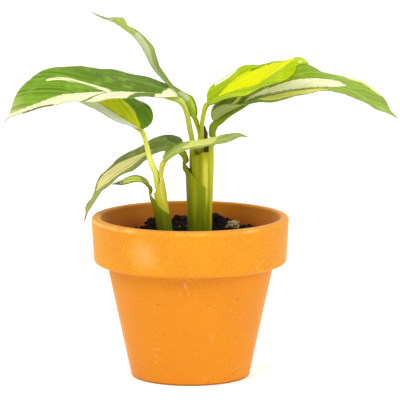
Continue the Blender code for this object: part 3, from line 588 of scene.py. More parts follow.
# How each leaf is coloured.  greens and under are the upper and the lower face from foot to tip, the
# last one the dry tip.  sectors hold a colour and outlines of tissue, each as points (share of the
# length, share of the half width, negative on the left half).
SECTORS = ("cream", "yellow", "deep")
LOOKS = {
    "large_left": dict(
        greens="#506C0E #628326 #86AA44 #F0E9A8", under="#A3B45E #A9B978 #A9B978 #EFE8AC",
        dark="#3A560C", light="#9DBB58", rib="#F8F6C4", vein="#D5E39A", rim="#6E6424", freshness=1.1,
        rib_share=0.6, rim_share=0.55,
        sectors={
            "cream": ("#FEFAD0",
            [(0, -1), (0, 0.9), (0.05, 0.6), (0.085, 0.2), (0.1, 0), (0.15, -0.5), (0.17, -1)],
            [(0.19, 0.02), (0.26, -0.4), (0.33, -1.1), (1, -1.1), (1, 1), (0.95, 0.5), (0.93, 0.12),
             (0.86, 0.03), (0.5, 0)],
            [(0.385, -0.02), (0.47, 0.2), (0.55, 0.37), (0.61, 0.46), (0.7, 0.6), (0.695, 0.67),
             (0.6, 0.54), (0.53, 0.43), (0.45, 0.26), (0.37, 0.05)]),
            "deep": ("#60762A",
            [(0.395, -0.03), (0.41, -0.3), (0.48, -0.62), (0.545, -1), (0.56, -1), (0.5, -0.62),
             (0.425, -0.3), (0.41, -0.03)],
            [(0.7, -1.1), (0.7, -0.9), (0.78, -0.8), (0.88, -0.88), (0.88, -1.1)],
            [(0.12, 0.02), (0.2, 0.22), (0.35, 0.58), (0.36, 0.54), (0.24, 0.18), (0.16, 0.02)])}),
    "rolled_young": dict(
        greens="#A4BC2C #8FA83C #A6BC54 #A89C84", under="#B4CC30 #B9C78A #C0D07C #A89C84",
        dark="#6A8222", light="#CBDA98", rib="#F0F2D4", vein="#E8F0C8", rim="#5E6A1E", freshness=1.12,
        rib_share=0.8, rim_share=0.65,
        sectors={
            "cream": ("#E6ECC4",
            [(0.13, -1.1), (0.11, -0.2), (0.14, 0.2), (0.17, 1.1), (0.2, 1.1), (0.2, 0), (0.3, -0.08),
             (0.68, -0.08), (0.68, -1.1)],
            [(0.845, -1.1), (0.845, 0.6), (0.96, 0.6), (0.96, -1.1)]),
            "yellow": ("#C8D660",
            [(0.72, -1.1), (0.71, 0), (0.72, 1.1), (0.83, 1.1), (0.84, 0), (0.84, -1.1)]),
            "deep": ("#8FA044",
            [(0.19, -1.1), (0.2, -0.4), (0.3, -0.56), (0.42, -0.62), (0.52, -0.68), (0.62, -0.84),
             (0.67, -1.1)])}),
    "upper_right": dict(
        greens="#94AE0A #AEC43A #AEC634 #B8C850", under="#A4BC30 #B8C860 #B0C24C #B8CC50",
        dark="#7E9610", light="#D0DE6E", rib="#DCE880", vein="#E6EE9C", rim="#4E5216", freshness=1.22,
        rib_share=0.5, rim_share=0.85,
        sectors={
            "cream": ("#FCFBDA",
            [(0.08, -1.1), (0.1, -0.8), (0.17, -0.7), (0.28, -0.86), (0.3, -1.1)],
            # This cream outline near the tip is a painted highlight where the blade bulges
            [(0.91, 0.3), (0.91, 0.5), (0.94, 0.6), (0.94, 0.3)]),
            "yellow": ("#E8EC1C",
            [(0.1, -0.02), (0.2, -0.32), (0.3, -0.58), (0.42, -0.7), (0.55, -0.8), (0.7, -0.9),
             (0.82, -0.84), (0.87, -0.4), (0.86, -0.02), (0.5, -0.01)]),
            "deep": ("#7E9410",
            [(0.7, -0.72), (0.79, -0.56), (0.8, -0.62), (0.72, -0.78)],
            [(0.42, -0.66), (0.52, -0.74), (0.58, -0.84), (0.44, -0.8)],
            [(0.6, -0.8), (0.7, -0.86), (0.72, -0.92), (0.6, -0.86)])}),
    "large_right": dict(
        greens="#6E8230 #8CA640 #96AE58 #A0AE68", under="#A4AE74 #ACB67E #ACB67E #98A468",
        dark="#5A6E24", light="#B6CA70", rib="#8C9624", vein="#DCE6AC", rim="#5E6424", freshness=1.18,
        rib_share=0.6, rim_share=0.5,
        sectors={
            "cream": ("#FDFAD4",
            [(0.18, -0.02), (0.26, -0.18), (0.4, -0.28), (0.52, -0.38), (0.6, -0.5), (0.66, -0.46),
             (0.7, -0.15), (0.66, -0.02)],
            [(0.26, 0.1), (0.34, 0.16), (0.46, 0.14), (0.4, 0.08)]),
            "yellow": ("#F8F490",
            [(0.24, 0.6), (0.33, 0.42), (0.42, 0.34), (0.5, 0.44), (0.58, 0.66), (0.6, 0.9),
             (0.5, 0.98), (0.35, 0.9), (0.27, 0.8)],
            [(0.68, -1.1), (0.7, -0.8), (0.8, -0.8), (0.87, -0.88), (0.88, -1.1)],
            [(0.06, -0.15), (0.12, -0.3), (0.22, -0.44), (0.24, -0.38), (0.14, -0.18), (0.08, -0.06)]),
            "deep": ("#5A6C20",
            [(0.04, -1.1), (0.04, -0.4), (0.1, -0.5), (0.16, -1.1)],
            [(0.2, 0.3), (0.34, 0.34), (0.46, 0.24), (0.6, 0.4), (0.62, 0.34), (0.47, 0.18),
             (0.33, 0.26), (0.2, 0.22)])}),
    "arching_lower_left": dict(
        greens="#728C08 #88984A #A4A854 #B8AC74", under="#A8B468 #AAB47A #ACB060 #B8AC74",
        dark="#55662C", light="#ACB878", rib="#C0A480", vein="#D8DEA6", rim="#5A5420", freshness=1.08,
        rib_share=0.75, rim_share=0.55,
        sectors={
            "cream": ("#FFF4A8",
            [(0.22, 0.02), (0.3, -0.18), (0.42, -0.44), (0.56, -0.55), (0.66, -0.48), (0.74, -0.2),
             (0.76, 0.3), (0.7, 0.78), (0.6, 0.8), (0.5, 0.62), (0.4, 0.42), (0.3, 0.2)]),
            "deep": ("#5E7A08",
            [(0.02, 0.25), (0.02, 1.1), (0.2, 1.1), (0.14, 0.5)])}),
    "left_of_side_shoot": dict(
        greens="#6A980A #76A010 #7EA416 #D8DCA0", under="#DCE0B8 #E2E6C6 #E6EAD0 #E4E8C0",
        dark="#486C04", light="#8CB02A", rib="#ECF0B0", vein="#C8D86A", rim="#5E7420", freshness=1.3,
        rib_share=0.7, rim_share=0.45,
        sectors={
            "cream": ("#FAFBEC",
            [(0, -0.02), (0, -1.1), (1, -1.1), (1, -0.02)]),
            "yellow": ("#F4F810",
            [(0.03, 0.03), (0.08, 0.2), (0.25, 0.47), (0.43, 0.63), (0.65, 0.76), (0.9, 0.7), (1, 0.2),
             (1, 0.03)])}),
    "narrow_front": dict(
        greens="#8AA63A #B0BC58 #A6AC62 #7E8434", under="#A9BA70 #BCC684 #ACB67C #8A9050",
        dark="#6E8426", light="#CCD680", rib="#DEE490", vein="#E2E8A8", rim="#6A6A28", freshness=1,
        rib_share=0.4, rim_share=0.5,
        sectors={
            "yellow": ("#E4E672",
            [(0.26, 0), (0.32, -0.5), (0.36, -1.1), (0.68, -1.1), (0.64, -0.4), (0.6, 0.5),
             (0.34, 0.5)]),
            "deep": ("#6E8A20",
            [(0.05, -1.1), (0.08, -0.5), (0.2, -0.7), (0.24, -1.1)])}),
    "withered_small": dict(
        greens="#7E8C24 #A4B43C #909A40 #6A6C34", under="#9AA850 #A8B460 #98A054 #6A6C34",
        dark="#566214", light="#C4D060", rib="#5E6A24", vein="#D8E08C", rim="#465014", freshness=1,
        rib_share=0.8, rim_share=0.7,
        sectors={
            "yellow": ("#C6D452",
            [(0.25, -0.6), (0.25, 0.7), (0.7, 0.7), (0.7, -0.6)]),
            "deep": ("#4E5E18",
            [(0.1, -1.1), (0.1, -0.8), (0.9, -0.8), (0.9, -1.1)],
            [(0.1, 1.1), (0.1, 0.85), (0.9, 0.85), (0.9, 1.1)],
            [(0.8, -1.1), (0.8, 1.1), (0.92, 1.1), (0.92, -1.1)])}),
}

# Sheath and stalk colours from the mix upwards, and their fibres
STALK_TONES = {
    "large_left": ("#5C6404 #7C8416 #A0A438 #BCC468", "#D4D478"),
    "rolled_young": ("#5C6404 #7E8420 #8C902A #A2B42C", "#C4C464"),
    "upper_right": ("#5C6404 #86842A #989440 #A6AC48", "#C8C07C"),
    "large_right": ("#626A06 #8C921C #A8AC38 #707C1C", "#DCDC80",
        # (middle x, half width, foot, top, share, colour)
        # The first two bands are a paler stripe down the sheath's right side with a painted highlight on
        # it
        ((8.6, 1.7, 12, 46, 0.6, "#F2EE84"), (11.6, 1.2, -5, 46, 0.4, "#DCD850"),
         (5.4, 1.6, 18, 60, 0.55, "#7A7420"), (30, 120, 48, 300, 0.75, "#6E7C12"))),
    "arching_lower_left": ("#545E04 #76820A #949C28 #8E9830", "#B0B850"),
    "left_of_side_shoot": ("#848A0E #B8BC40 #DCDC7C #B8BC58", "#F0EEA4"),
    "narrow_front": ("#8A8C18 #B8B450 #C8C468 #B4B84C", "#E8E4A0"),
    "withered_small": ("#4C5A06 #767E10 #9C9C34 #5E6624", "#BEBE60"),
}


# ---------------------------------------------------------------- leaf shapes

def smooth_path(points, count):
    """count points, evenly spaced along a centripetal Catmull-Rom curve through points."""
    points = [np.array(p, float) for p in points]
    ends = [2 * points[0] - points[1], *points, 2 * points[-1] - points[-2]]
    fine = []
    for a, b, c, d in zip(ends, ends[1:], ends[2:], ends[3:]):
        t = np.cumsum([0] + [math.sqrt(np.linalg.norm(q - p)) for p, q in ((a, b), (b, c), (c, d))])
        for s in np.linspace(t[1], t[2], 24, endpoint=False):
            ab = mix_at(a, b, t[0], t[1], s)
            bc = mix_at(b, c, t[1], t[2], s)
            cd = mix_at(c, d, t[2], t[3], s)
            fine.append(mix_at(mix_at(ab, bc, t[0], t[2], s), mix_at(bc, cd, t[1], t[3], s),
                               t[1], t[2], s))
    fine = np.array(fine + [points[-1]])
    run = run_of(fine)
    return along_path(fine, np.linspace(0, run[-1], count), run)


def mix_at(p, q, start, end, s):
    return p + (q - p) * ((s - start) / (end - start))


def path_directions(path):
    ways = np.gradient(path, axis=0)
    return ways / np.linalg.norm(ways, axis=1)[:, None]


def blurred(values, reach):
    """values along a row, softened over reach neighbours to each side."""
    weights = np.exp(-0.5 * (np.arange(-2 * reach, 2 * reach + 1) / reach) ** 2)
    padded = np.pad(values, 2 * reach, mode="edge")
    return np.convolve(padded, weights / weights.sum(), mode="valid")


def blade_width(leaf, u):
    """Share of the half width at u: a rounded foot, full sides and a pointed tip."""
    foot = np.sqrt(np.clip(1 - (1 - u / leaf["widest"]) ** 2, 0, 1))
    tip = (1 - np.clip((u - leaf["widest"]) / (1 - leaf["widest"]), 0, 1) ** leaf["blunt"]) ** 0.8
    share = np.maximum(np.where(u < leaf["widest"], foot, tip), np.where(u < 0.5, 0.05, 0.012))
    if "waist" in leaf:
        share = share * np.interp(u, *zip(*leaf["waist"]))
    return share


def inside_distance(places, outline):
    """Signed distance from each place to an outline, positive inside it."""
    corners = np.array(outline, float)
    nearest = np.full(len(places), 1e9)
    inside = np.zeros(len(places), bool)
    for a, b in zip(corners, np.roll(corners, -1, axis=0)):
        side = b - a
        along = np.clip((places - a) @ side / (side @ side), 0, 1)
        nearest = np.minimum(nearest, np.linalg.norm(places - a - along[:, None] * side, axis=1))
        crosses = (a[1] > places[:, 1]) != (b[1] > places[:, 1])
        at = a[0] + (places[:, 1] - a[1]) / (b[1] - a[1] + 1e-12) * side[0]
        inside ^= crosses & (places[:, 0] < at)
    return np.where(inside, nearest, -nearest)


def blade_frame(leaf, rows):
    """The midrib's points, its directions and the upward normals along it."""
    path = smooth_path([UP * MIX_HEIGHT + p for p in leaf["midrib"]], rows)
    ways = path_directions(path)
    normals = UP - ways * ways[:, 2:]
    return path, ways, normals / np.linalg.norm(normals, axis=1)[:, None]


def make_blade(name, leaf, looks, rng):
    """A leaf blade: two halves rising from the midrib, pleated along the side veins."""
    path, ways, normals = blade_frame(leaf, BLADE_ROWS)
    rights = np.cross(ways, normals)
    length = run_of(path)[-1]
    u = np.linspace(0, 1, BLADE_ROWS)
    half = leaf["half_width"] * blade_width(leaf, u)
    places, lefts, right_lifts = zip(*leaf["lift"])
    points = np.zeros((BLADE_ROWS, 2 * BLADE_COLUMNS + 1, 3))
    points[:, BLADE_COLUMNS] = path
    shares = (np.arange(BLADE_COLUMNS) + 0.5) / BLADE_COLUMNS - 0.5
    for hand, lifts in ((-1, lefts), (1, right_lifts)):
        lift = blurred(np.interp(u, places, lifts), 5)
        angles = np.radians(lift[:, None] + leaf["curl"] * shares[None, :])
        out = np.cumsum(np.cos(angles), axis=1) * half[:, None] / BLADE_COLUMNS
        rise = np.cumsum(np.sin(angles), axis=1) * half[:, None] / BLADE_COLUMNS
        side = path[:, None] + hand * out[..., None] * rights[:, None] + rise[..., None] * normals[:, None]
        if hand < 0:
            points[:, :BLADE_COLUMNS] = side[:, ::-1]
        else:
            points[:, BLADE_COLUMNS + 1:] = side
    v = np.linspace(-1, 1, 2 * BLADE_COLUMNS + 1)[None, :] * np.ones((BLADE_ROWS, 1))
    share = u[:, None] * np.ones_like(v)
    across = v * half[:, None]
    along = share * length
    vein = along - VEIN_SLOPE * np.abs(across) - 0.02 * across ** 2

    # Relief: the midrib's groove, pleats along the side veins, wavy margins and a soft unevenness
    start = rng.uniform(0, math.tau)
    fade = np.sin(np.pi * np.clip(u, 0.001, 0.999))[:, None] ** 0.5
    w = np.abs(v)
    groove = -0.28 * np.exp(-(across / 0.75) ** 2) * (1 - u[:, None])
    pleats = 0.085 * np.cos(math.tau * vein / PLEAT_SPACING) * w ** 0.5 * (1.1 - w)
    pleats += 0.06 * np.cos(math.tau * vein / (PLEAT_SPACING * 3.1) + start) * w
    waves = 0.45 * w ** 3 * np.sin(math.tau * along / 19 + start + 1.3 * np.sign(v))
    broad = 0.35 * np.sin(along / 7.5 + start) * np.sin(across / 5 + 2 * start) * w
    relief = groove + fade * (pleats + waves + broad) * min(1, leaf["half_width"] / 12)
    facing = np.cross(np.gradient(points, axis=1), np.gradient(points, axis=0))
    facing /= np.linalg.norm(facing, axis=2)[..., None] + 1e-12
    points = points + facing * relief[..., None]

    piece = sheet(f"{name}_blade", points)
    give_places(piece, "leaf_place", np.stack([vein, across, share], axis=2))
    flat = np.stack([along, v * leaf["half_width"]], axis=2).reshape(-1, 2)
    scale = np.array([length, leaf["half_width"]])
    fields = []
    for kind in SECTORS:
        distance = np.full(len(flat), -9.0)
        for outline in looks["sectors"].get(kind, ())[1:]:
            distance = np.maximum(distance, inside_distance(flat, np.array(outline) * scale))
        fields.append(np.clip(distance, -9, 9))
    give_places(piece, "tissue_edges", np.stack(fields, axis=1))
    gap = piece.data.attributes.new("margin_gap", "FLOAT", "POINT")
    gap.data.foreach_set("value", (half[:, None] - np.abs(across)).astype(np.float32).ravel())
    for face, underside in (("waxy_upper", False), ("matt_lower", True)):
        piece.data.materials.append(leaf_material(f"{name}_leaf_{face}_face", looks, underside))

    wall = piece.modifiers.new("blade_thickness", "SOLIDIFY")
    wall.thickness = BLADE_THICKNESS * MM
    wall.offset = -1
    wall.material_offset = 1
    wall.material_offset_rim = 1
    pick(piece)
    bpy.ops.object.modifier_apply(modifier=wall.name)
    smooth_shading(piece)
    slot = "leaf_light" if name in ("rolled_young", "narrow_front", "withered_small") else "leaf_green"
    finish_piece(piece, slot, f"{name}_leaf_blade")


def shoot_axis(shoot, height):
    rise = height - MIX_HEIGHT
    return np.array([shoot["foot"][0] + shoot["lean"][0] * rise,
                     shoot["foot"][1] + shoot["lean"][1] * rise, height])


def layer_radius(shoot_name, layer, height):
    """Outer radius of a nested sheath at a height."""
    rise = height - MIX_HEIGHT
    shoot = SHOOTS[shoot_name]
    if layer == 0:
        return shoot["core"] - shoot["core_taper"] * rise
    leaf = next(x for x in LEAVES.values() if x["shoot"] == shoot_name and x["layer"] == layer)
    slack = leaf.get("slack", 0) * min(max(rise / leaf["opens"], 0), 1)
    return layer_radius(shoot_name, layer - 1, height) + SHEATH_GAP + slack + SHEATH_WALL


def clear_offset(inside_radius, wrap, neighbour):
    """How far a sheath moves out so that it stays clear of the stalks inside it."""
    if inside_radius >= neighbour:
        return 0.0
    a = math.radians(wrap)
    room = neighbour ** 2 - (inside_radius * math.sin(a)) ** 2
    return max(-inside_radius * math.cos(a) + math.sqrt(max(room, 0)), neighbour - inside_radius)


def opened_section(leaf, height, t):
    """Radius, wall and wrap of a sheath that has opened by t, from 0, closed, to 1, a stalk."""
    full = layer_radius(leaf["shoot"], leaf["layer"], height)
    thin = leaf["stalk_radius"]
    narrowed = float(ease(max(t - STRIP_AT, 0) / (1 - STRIP_AT)))
    radius = full + (thin - full) * narrowed
    wall = SHEATH_WALL if leaf["layer"] > 0 else full - STALK_HOLLOW
    wall = wall + (thin - STALK_HOLLOW - wall) * narrowed
    wrap = 170.0
    if leaf["layer"] > 0:
        wrap = float(np.interp(t, (0, STRIP_AT, 0.85, 1), (leaf["wrap"], STRIP_WRAP, STRIP_WRAP, 170)))
    return radius, wall, wrap


def opened_centre(leaf, height, t, out):
    radius, wall, wrap = opened_section(leaf, height, t)
    neighbour = 0.0
    if leaf["layer"] > 0:
        neighbour = layer_radius(leaf["shoot"], leaf["layer"] - 1, height) + SHEATH_GAP
    back_stays = layer_radius(leaf["shoot"], leaf["layer"], height) - radius
    offset = max(back_stays, clear_offset(radius - wall, wrap, neighbour))
    return shoot_axis(SHOOTS[leaf["shoot"]], height) + out * offset * (t > 0)



def section_ring(centre, out, side, radius, wall, wrap):
    """A C-shaped section, thinner towards its two margins; its back is towards out."""
    angles = np.radians(np.linspace(-wrap, wrap, ARC_STEPS + 1))
    ways = np.cos(angles)[:, None] * out + np.sin(angles)[:, None] * side
    thinned = wall * (1 - 0.6 * np.abs(np.linspace(-1, 1, ARC_STEPS + 1)) ** 5)
    ring = np.vstack([centre + radius * ways, (centre + (radius - thinned)[:, None] * ways)[::-1],
                      centre + radius * ways[:1]])
    local = np.stack([(ring - centre) @ out, (ring - centre) @ side], axis=1)
    return ring, local


def evenly(path, sizes, spacing):
    """A path and a size along it, taken again at even distances."""
    run = run_of(path)
    places = np.linspace(0, run[-1], int(run[-1] / spacing) + 1)
    return along_path(path, places, run), np.interp(places, run, sizes), places


def make_stalk(name, leaf, tones):
    """A leaf's sheath, stalk, the knee under the blade and the rib that runs on beneath it."""
    turn = math.radians(leaf["faces"])
    out = np.array([math.cos(turn), math.sin(turn), 0])
    side = np.cross(UP, out)
    opens = MIX_HEIGHT + leaf["opens"]
    free = MIX_HEIGHT + leaf["free"]
    sections = []
    for height in np.linspace(MIX_HEIGHT + SHEATH_FOOT, opens, SHEATH_ROWS, endpoint=False):
        sections.append((shoot_axis(SHOOTS[leaf["shoot"]], height), out, side,
                         *opened_section(leaf, height, 0)))
    for t in np.linspace(0, 1, OPENING_ROWS, endpoint=False):
        height = opens + (free - opens) * t
        sections.append((opened_centre(leaf, height, t, out), out, side,
                         *opened_section(leaf, height, t)))

    # The free stalk and the rib beneath the blade share one softened line
    before = sections[-1][0]
    start = opened_centre(leaf, free, 1.0, out)
    surface = UP * MIX_HEIGHT
    stalk = smooth_path([start, *[surface + p for p in [*leaf["stalk"], leaf["midrib"][0]]]], STALK_ROWS)
    rib, _, rib_normals = blade_frame(leaf, RIB_ROWS)
    radius, _, wrap = opened_section(leaf, free, 1)
    shares = np.linspace(0, 1, RIB_ROWS)
    rib_radius = radius * ((1 - shares) ** 1.1 * np.exp(-RIB_TAPER * shares) + 0.08)
    rib_radius = np.minimum(rib_radius, 0.25 + leaf["half_width"] * blade_width(leaf, shares) * 0.8)
    under = rib - rib_normals * (BLADE_THICKNESS + rib_radius * 0.6)[:, None]
    spine = np.vstack([stalk[:-1], under[1:]])
    thins = leaf.get("stalk_end", 1.0)
    sizes = np.concatenate([radius * np.linspace(1, thins, len(stalk) - 1), rib_radius[1:] * thins])
    spine, sizes, places = evenly(spine, sizes, SPINE_SPACING)
    spine = np.stack([blurred(spine[:, k], SPINE_REACH) for k in range(3)], axis=1)
    sizes = blurred(sizes, SPINE_REACH)
    # The knee: a swelling just under the blade
    below_knee = run_of(stalk)[-1] - KNEE_BELOW_BLADE - places
    sizes = sizes * (1 + KNEE_SWELLING * np.exp(-(below_knee / KNEE_LENGTH) ** 2))
    spine += (start - spine[0]) * np.exp(-np.arange(len(spine)) / 4.0)[:, None]
    ways = path_directions(np.vstack([before, spine]))[1:]
    for point, way, size in zip(spine, ways, sizes):
        out = turned_along(out, way)
        side = np.cross(way, out)
        sections.append((point, out, side, size, size * STALK_FILL, wrap))

    rings, stored = [], []
    for section, run in zip(sections, run_of(np.array([section[0] for section in sections]))):
        ring, local = section_ring(*section)
        rings.append(ring)
        stored.append(np.column_stack([local, np.full(len(local), run + SHEATH_FOOT)]))
    piece = sheet(f"{name}_stalk", np.array(rings))
    give_places(piece, "stalk_place", np.array(stored))
    close_tube(piece)
    smooth_shading(piece, 75)
    finish_piece(piece, f"{leaf['shoot']}_sheath", f"{name}_leaf_stalk",
                 material=sheath_material(f"{name}_sheath_fleshy_satin", *tones))


def make_dried_tip(material):
    """The withered end of an old sheath: a dark, torn strip with stiff hairs."""
    (x, y, middle), size = node_middle("dried_sheath_tip")
    top = middle + size[2] / 2
    path = smooth_path([(x + 0.2, y + 0.4, middle - size[2] / 2 + 1.5), (x + 0.3, y, middle),
                        (x + 0.1, y - 0.2, top - 4), (x - 0.9, y - 0.6, top)], 40)
    strands = [(path, 1.35)]
    rng = random.Random(5)
    for _ in range(15):
        at = path[rng.randrange(18, 40)]
        turn, reach = rng.uniform(0, math.tau), rng.uniform(0.9, 2.0)
        over = np.array([math.cos(turn), math.sin(turn) * 0.6, 0.0])
        strands.append((smooth_path([at, at + over * reach * 0.6 + UP * reach * rng.uniform(0.1, 0.9),
                                     at + over * reach + UP * reach * rng.uniform(-0.2, 1.2)], 8), 0.15))
    made = []
    for line, radius in strands:
        ways = path_directions(line)
        out = np.array([0.0, -1.0, 0.0])
        rings = []
        for i, (point, way) in enumerate(zip(line, ways)):
            out = turned_along(out, way)
            turns = np.linspace(0, math.tau, 11)[:, None]
            torn = 1 + 0.45 * noise.noise(Vector(point) * 1.7)
            size = radius * torn * (1 - 0.75 * i / len(line))
            rings.append(point + size * (np.cos(turns) * out * 0.55 + np.sin(turns) * np.cross(way, out)))
        piece = sheet("dried_strand", np.array(rings))
        close_tube(piece)
        made.append(piece)
    piece = joined("dried_sheath_end", made)
    smooth_shading(piece)
    finish_piece(piece, "dried", "dried_sheath_tip", material=material)


# ---------------------------------------------------------------- the pot

def arc(centre_r, centre_z, radius, start, end, steps):
    """Points (r, z) on a rounding, angles in degrees."""
    angles = np.radians(np.linspace(start, end, steps + 1))
    return [(centre_r + radius * math.cos(a), centre_z + radius * math.sin(a)) for a in angles]


def straight(start, end, steps):
    """Points (r, z) between two others, neither of them included."""
    shares = [(i + 1) / (steps + 1) for i in range(steps)]
    return [(start[0] + (end[0] - start[0]) * s, start[1] + (end[1] - start[1]) * s) for s in shares]


def make_pot():
    """The pot's wall, extruded ring by ring from the drain hole up the outside and down inside."""
    foot = POT_HEIGHT - BAND_HEIGHT
    throat = (BODY_TOP - BODY_WALL, THROAT)
    outline = [(HOLE_RADIUS, 0.6), (HOLE_RADIUS + 0.6, 0.0)]
    outline += arc(BASE_RADIUS - BASE_ROUND, BASE_ROUND, BASE_ROUND, -90, 0, 4)
    outline += straight(outline[-1], (BODY_TOP, foot - 0.8), 14)
    outline += [(BODY_TOP, foot - 0.8), (BODY_TOP + 0.25, foot - 0.15), (BODY_TOP + 0.9, foot)]
    outline += arc(BAND_FOOT - BAND_ROUND, foot + BAND_ROUND, BAND_ROUND, -90, 0, 6)
    outline += straight(outline[-1], (RIM_RADIUS, POT_HEIGHT - LIP_ROUND), 7)
    outline += arc(RIM_RADIUS - LIP_ROUND, POT_HEIGHT - LIP_ROUND, LIP_ROUND, 0, 90, 6)
    outline += arc(MOUTH + LIP_ROUND, POT_HEIGHT - LIP_ROUND, LIP_ROUND, 90, 180, 6)
    outline += straight(outline[-1], throat, 8) + [throat]
    inner_foot = (BASE_RADIUS - BODY_WALL, FLOOR_THICKNESS)
    outline += straight(throat, inner_foot, 5) + [inner_foot]
    outline += [(HOLE_RADIUS + 0.6, FLOOR_THICKNESS), (HOLE_RADIUS, FLOOR_THICKNESS - 0.6)]

    pick()
    first_r, first_z = outline[0]
    centre = in_metres((0, 0, first_z))
    bpy.ops.mesh.primitive_circle_add(vertices=POT_FACETS, radius=first_r * MM, location=centre)
    piece = newest("terracotta_pot")
    bpy.ops.object.transform_apply(location=True, rotation=True, scale=True)
    edit(piece)
    for (r, z), (next_r, next_z) in zip(outline, outline[1:] + outline[:1]):
        bpy.ops.mesh.extrude_region_move(TRANSFORM_OT_translate={"value": (0, 0, (next_z - z) * MM)})
        bpy.ops.transform.resize(value=(next_r / r, next_r / r, 1),
                                 center_override=tuple(in_metres((0, 0, next_z))))
    bpy.ops.mesh.select_all(action="SELECT")
    bpy.ops.mesh.remove_doubles(threshold=1e-6)
    leave_edit()
    # A pressed pot is never quite true: the wall wanders by about a tenth of a millimetre
    for vert in piece.data.vertices:
        out = Vector((vert.co.x - POT_AXIS[0], vert.co.y - POT_AXIS[1], 0)).normalized()
        wander = noise.noise(vert.co * 28) * 0.14 + noise.noise(vert.co * 110) * 0.05
        vert.co += out * wander * MM
    smooth_shading(piece, 50)
    finish_piece(piece, "terracotta", "pot", material=terracotta_material())


# ---------------------------------------------------------------- potting mix

def mix_surface(x, y):
    """Height of the mix: level, with low lumps."""
    lumps = math.sin(0.31 * x + 1.3) * math.cos(0.27 * y - 0.4) + 0.6 * math.sin(0.5 * x - 0.7 * y)
    return MIX_HEIGHT + 0.6 * lumps


def inner_wall_radius(height):
    return float(np.interp(height, (FLOOR_THICKNESS, THROAT, POT_HEIGHT - 1.8),
                           (BASE_RADIUS - BODY_WALL, BODY_TOP - BODY_WALL, MOUTH)))


# Heaps of mix: (x, y, height, reach)
HEAPS = ((-21, 28, 4.6, 3.6), (-6, 33, 6.2, 4.6), (16, 31, 8.4, 4.6), (9, 30, 4.0, 5.0),
         (31, 21, 2.8, 4.5), (27, 26, 3.2, 4.5), (-12, 27, 4.2, 4.0), (6, 4, 3.4, 9.0),
         (-13, -5, 3.0, 7.0), (30, -8, 2.0, 8.0))


def rough_mix(x, y):
    """Height of the mix with its heaps, clods and crumbs, 1 to 6 mm across."""
    here = Vector((x, y, 3.7))
    heap = max(h * math.exp(-((x - a) ** 2 + (y - b) ** 2) / (2 * reach ** 2))
               for a, b, h, reach in HEAPS)
    clods = max(noise.noise(here / 4.0), 0) * (1.2 + 0.5 * heap)
    crumbs = abs(noise.noise(here / 1.6)) * (1.4 + 0.25 * heap) + abs(noise.noise(here / 0.8)) * 0.9
    return mix_surface(x, y) - 3.4 + heap + clods + crumbs


# The share of the ball, from its top pole down, that becomes the top of the mix
TOP_SHARE = 0.7


def make_mix(material):
    """The mix in the pot: a ball pulled into a plug with a crumbly top."""
    pick()
    bpy.ops.mesh.primitive_uv_sphere_add(segments=220, ring_count=160, radius=1)
    piece = newest("peat_mix")
    edge = inner_wall_radius(MIX_HEIGHT) - 0.35
    foot = BASE_RADIUS - BODY_WALL - 0.4
    rounds = [(edge, MIX_HEIGHT - 3), (inner_wall_radius(THROAT) - 0.4, THROAT), (foot, 6.4), (0, 6.4)]
    for vert in piece.data.vertices:
        polar = math.acos(max(-1.0, min(1.0, vert.co.z))) / math.pi
        turn = math.atan2(vert.co.y, vert.co.x)
        on_top = polar < TOP_SHARE
        if on_top:
            r = edge * min(polar / TOP_SHARE, 1)
        else:
            share = (polar - TOP_SHARE) / (1 - TOP_SHARE)
            r, z = (float(np.interp(share, (0, 0.3, 0.6, 1), row)) for row in zip(*rounds))
        x, y = r * math.cos(turn), r * math.sin(turn)
        if on_top:
            z = rough_mix(x, y) - 1.5 * max(0.0, r / edge - 0.94) / 0.06
        vert.co = Vector(in_metres((x, y, z)))
    finish_piece(piece, "potting_mix", "potting_mix", material=material)


def lump_at(name, centre, size, turn, rng, detail, roughness):
    """An uneven lump: a ball stretched to size, turned about Z and knocked out of shape."""
    pick()
    bpy.ops.mesh.primitive_ico_sphere_add(subdivisions=detail, radius=0.5)
    piece = newest(name)
    seed = Vector([rng.uniform(0, 90) for _ in range(3)])
    for vert in piece.data.vertices:
        knock = noise.noise(vert.co * 3.1 + seed) + 0.6 * noise.noise(vert.co * 7.3 + seed)
        x, y, z = (c * s * (1 + roughness * knock) for c, s in zip(vert.co, size))
        vert.co = Vector(in_metres((centre[0] + x * math.cos(turn) - y * math.sin(turn),
                                    centre[1] + x * math.sin(turn) + y * math.cos(turn),
                                    centre[2] + z)))
    return piece


def node_middle(node):
    """The middle of a node's box and its size, in millimetres."""
    low, high = (np.array(corner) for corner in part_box(node))
    return ((low + high) / 2 - POT_AXIS) / MM, (high - low) / MM


def make_topping(name, node, material, rng, turn, detail, roughness, sits=None):
    """A lump in a node's place; sits is how much of its height its middle is above the mix."""
    centre, size = node_middle(node)
    if sits is None:
        size = size * 1.1
    else:
        centre[2] = rough_mix(centre[0], centre[1]) + size[2] * sits
    piece = lump_at(name, centre, size, turn, rng, detail, roughness)
    slot = node.split("_")[1] if sits is None else node.split("_")[0]
    finish_piece(piece, slot, node, material=material)


def make_toppings(rng, bark, crumb, perlite):
    for i in range(1, 10):
        make_topping(f"bark_{i}", f"bark_chip_{i}", bark, rng, rng.uniform(-0.3, 0.3), 4, 0.75, 0.15)
    make_topping("pale_peat_crumb", "pale_crumb", crumb, rng, 0.3, 4, 0.7)
    for i in range(1, 5):
        make_topping(f"perlite_{i}", f"perlite_grain_{i}", perlite, rng, 0.0, 3, 0.4, 0.3)


def near_shoot(x, y):
    return any(math.hypot(x - s["foot"][0], y - s["foot"][1]) < 10 for s in SHOOTS.values())


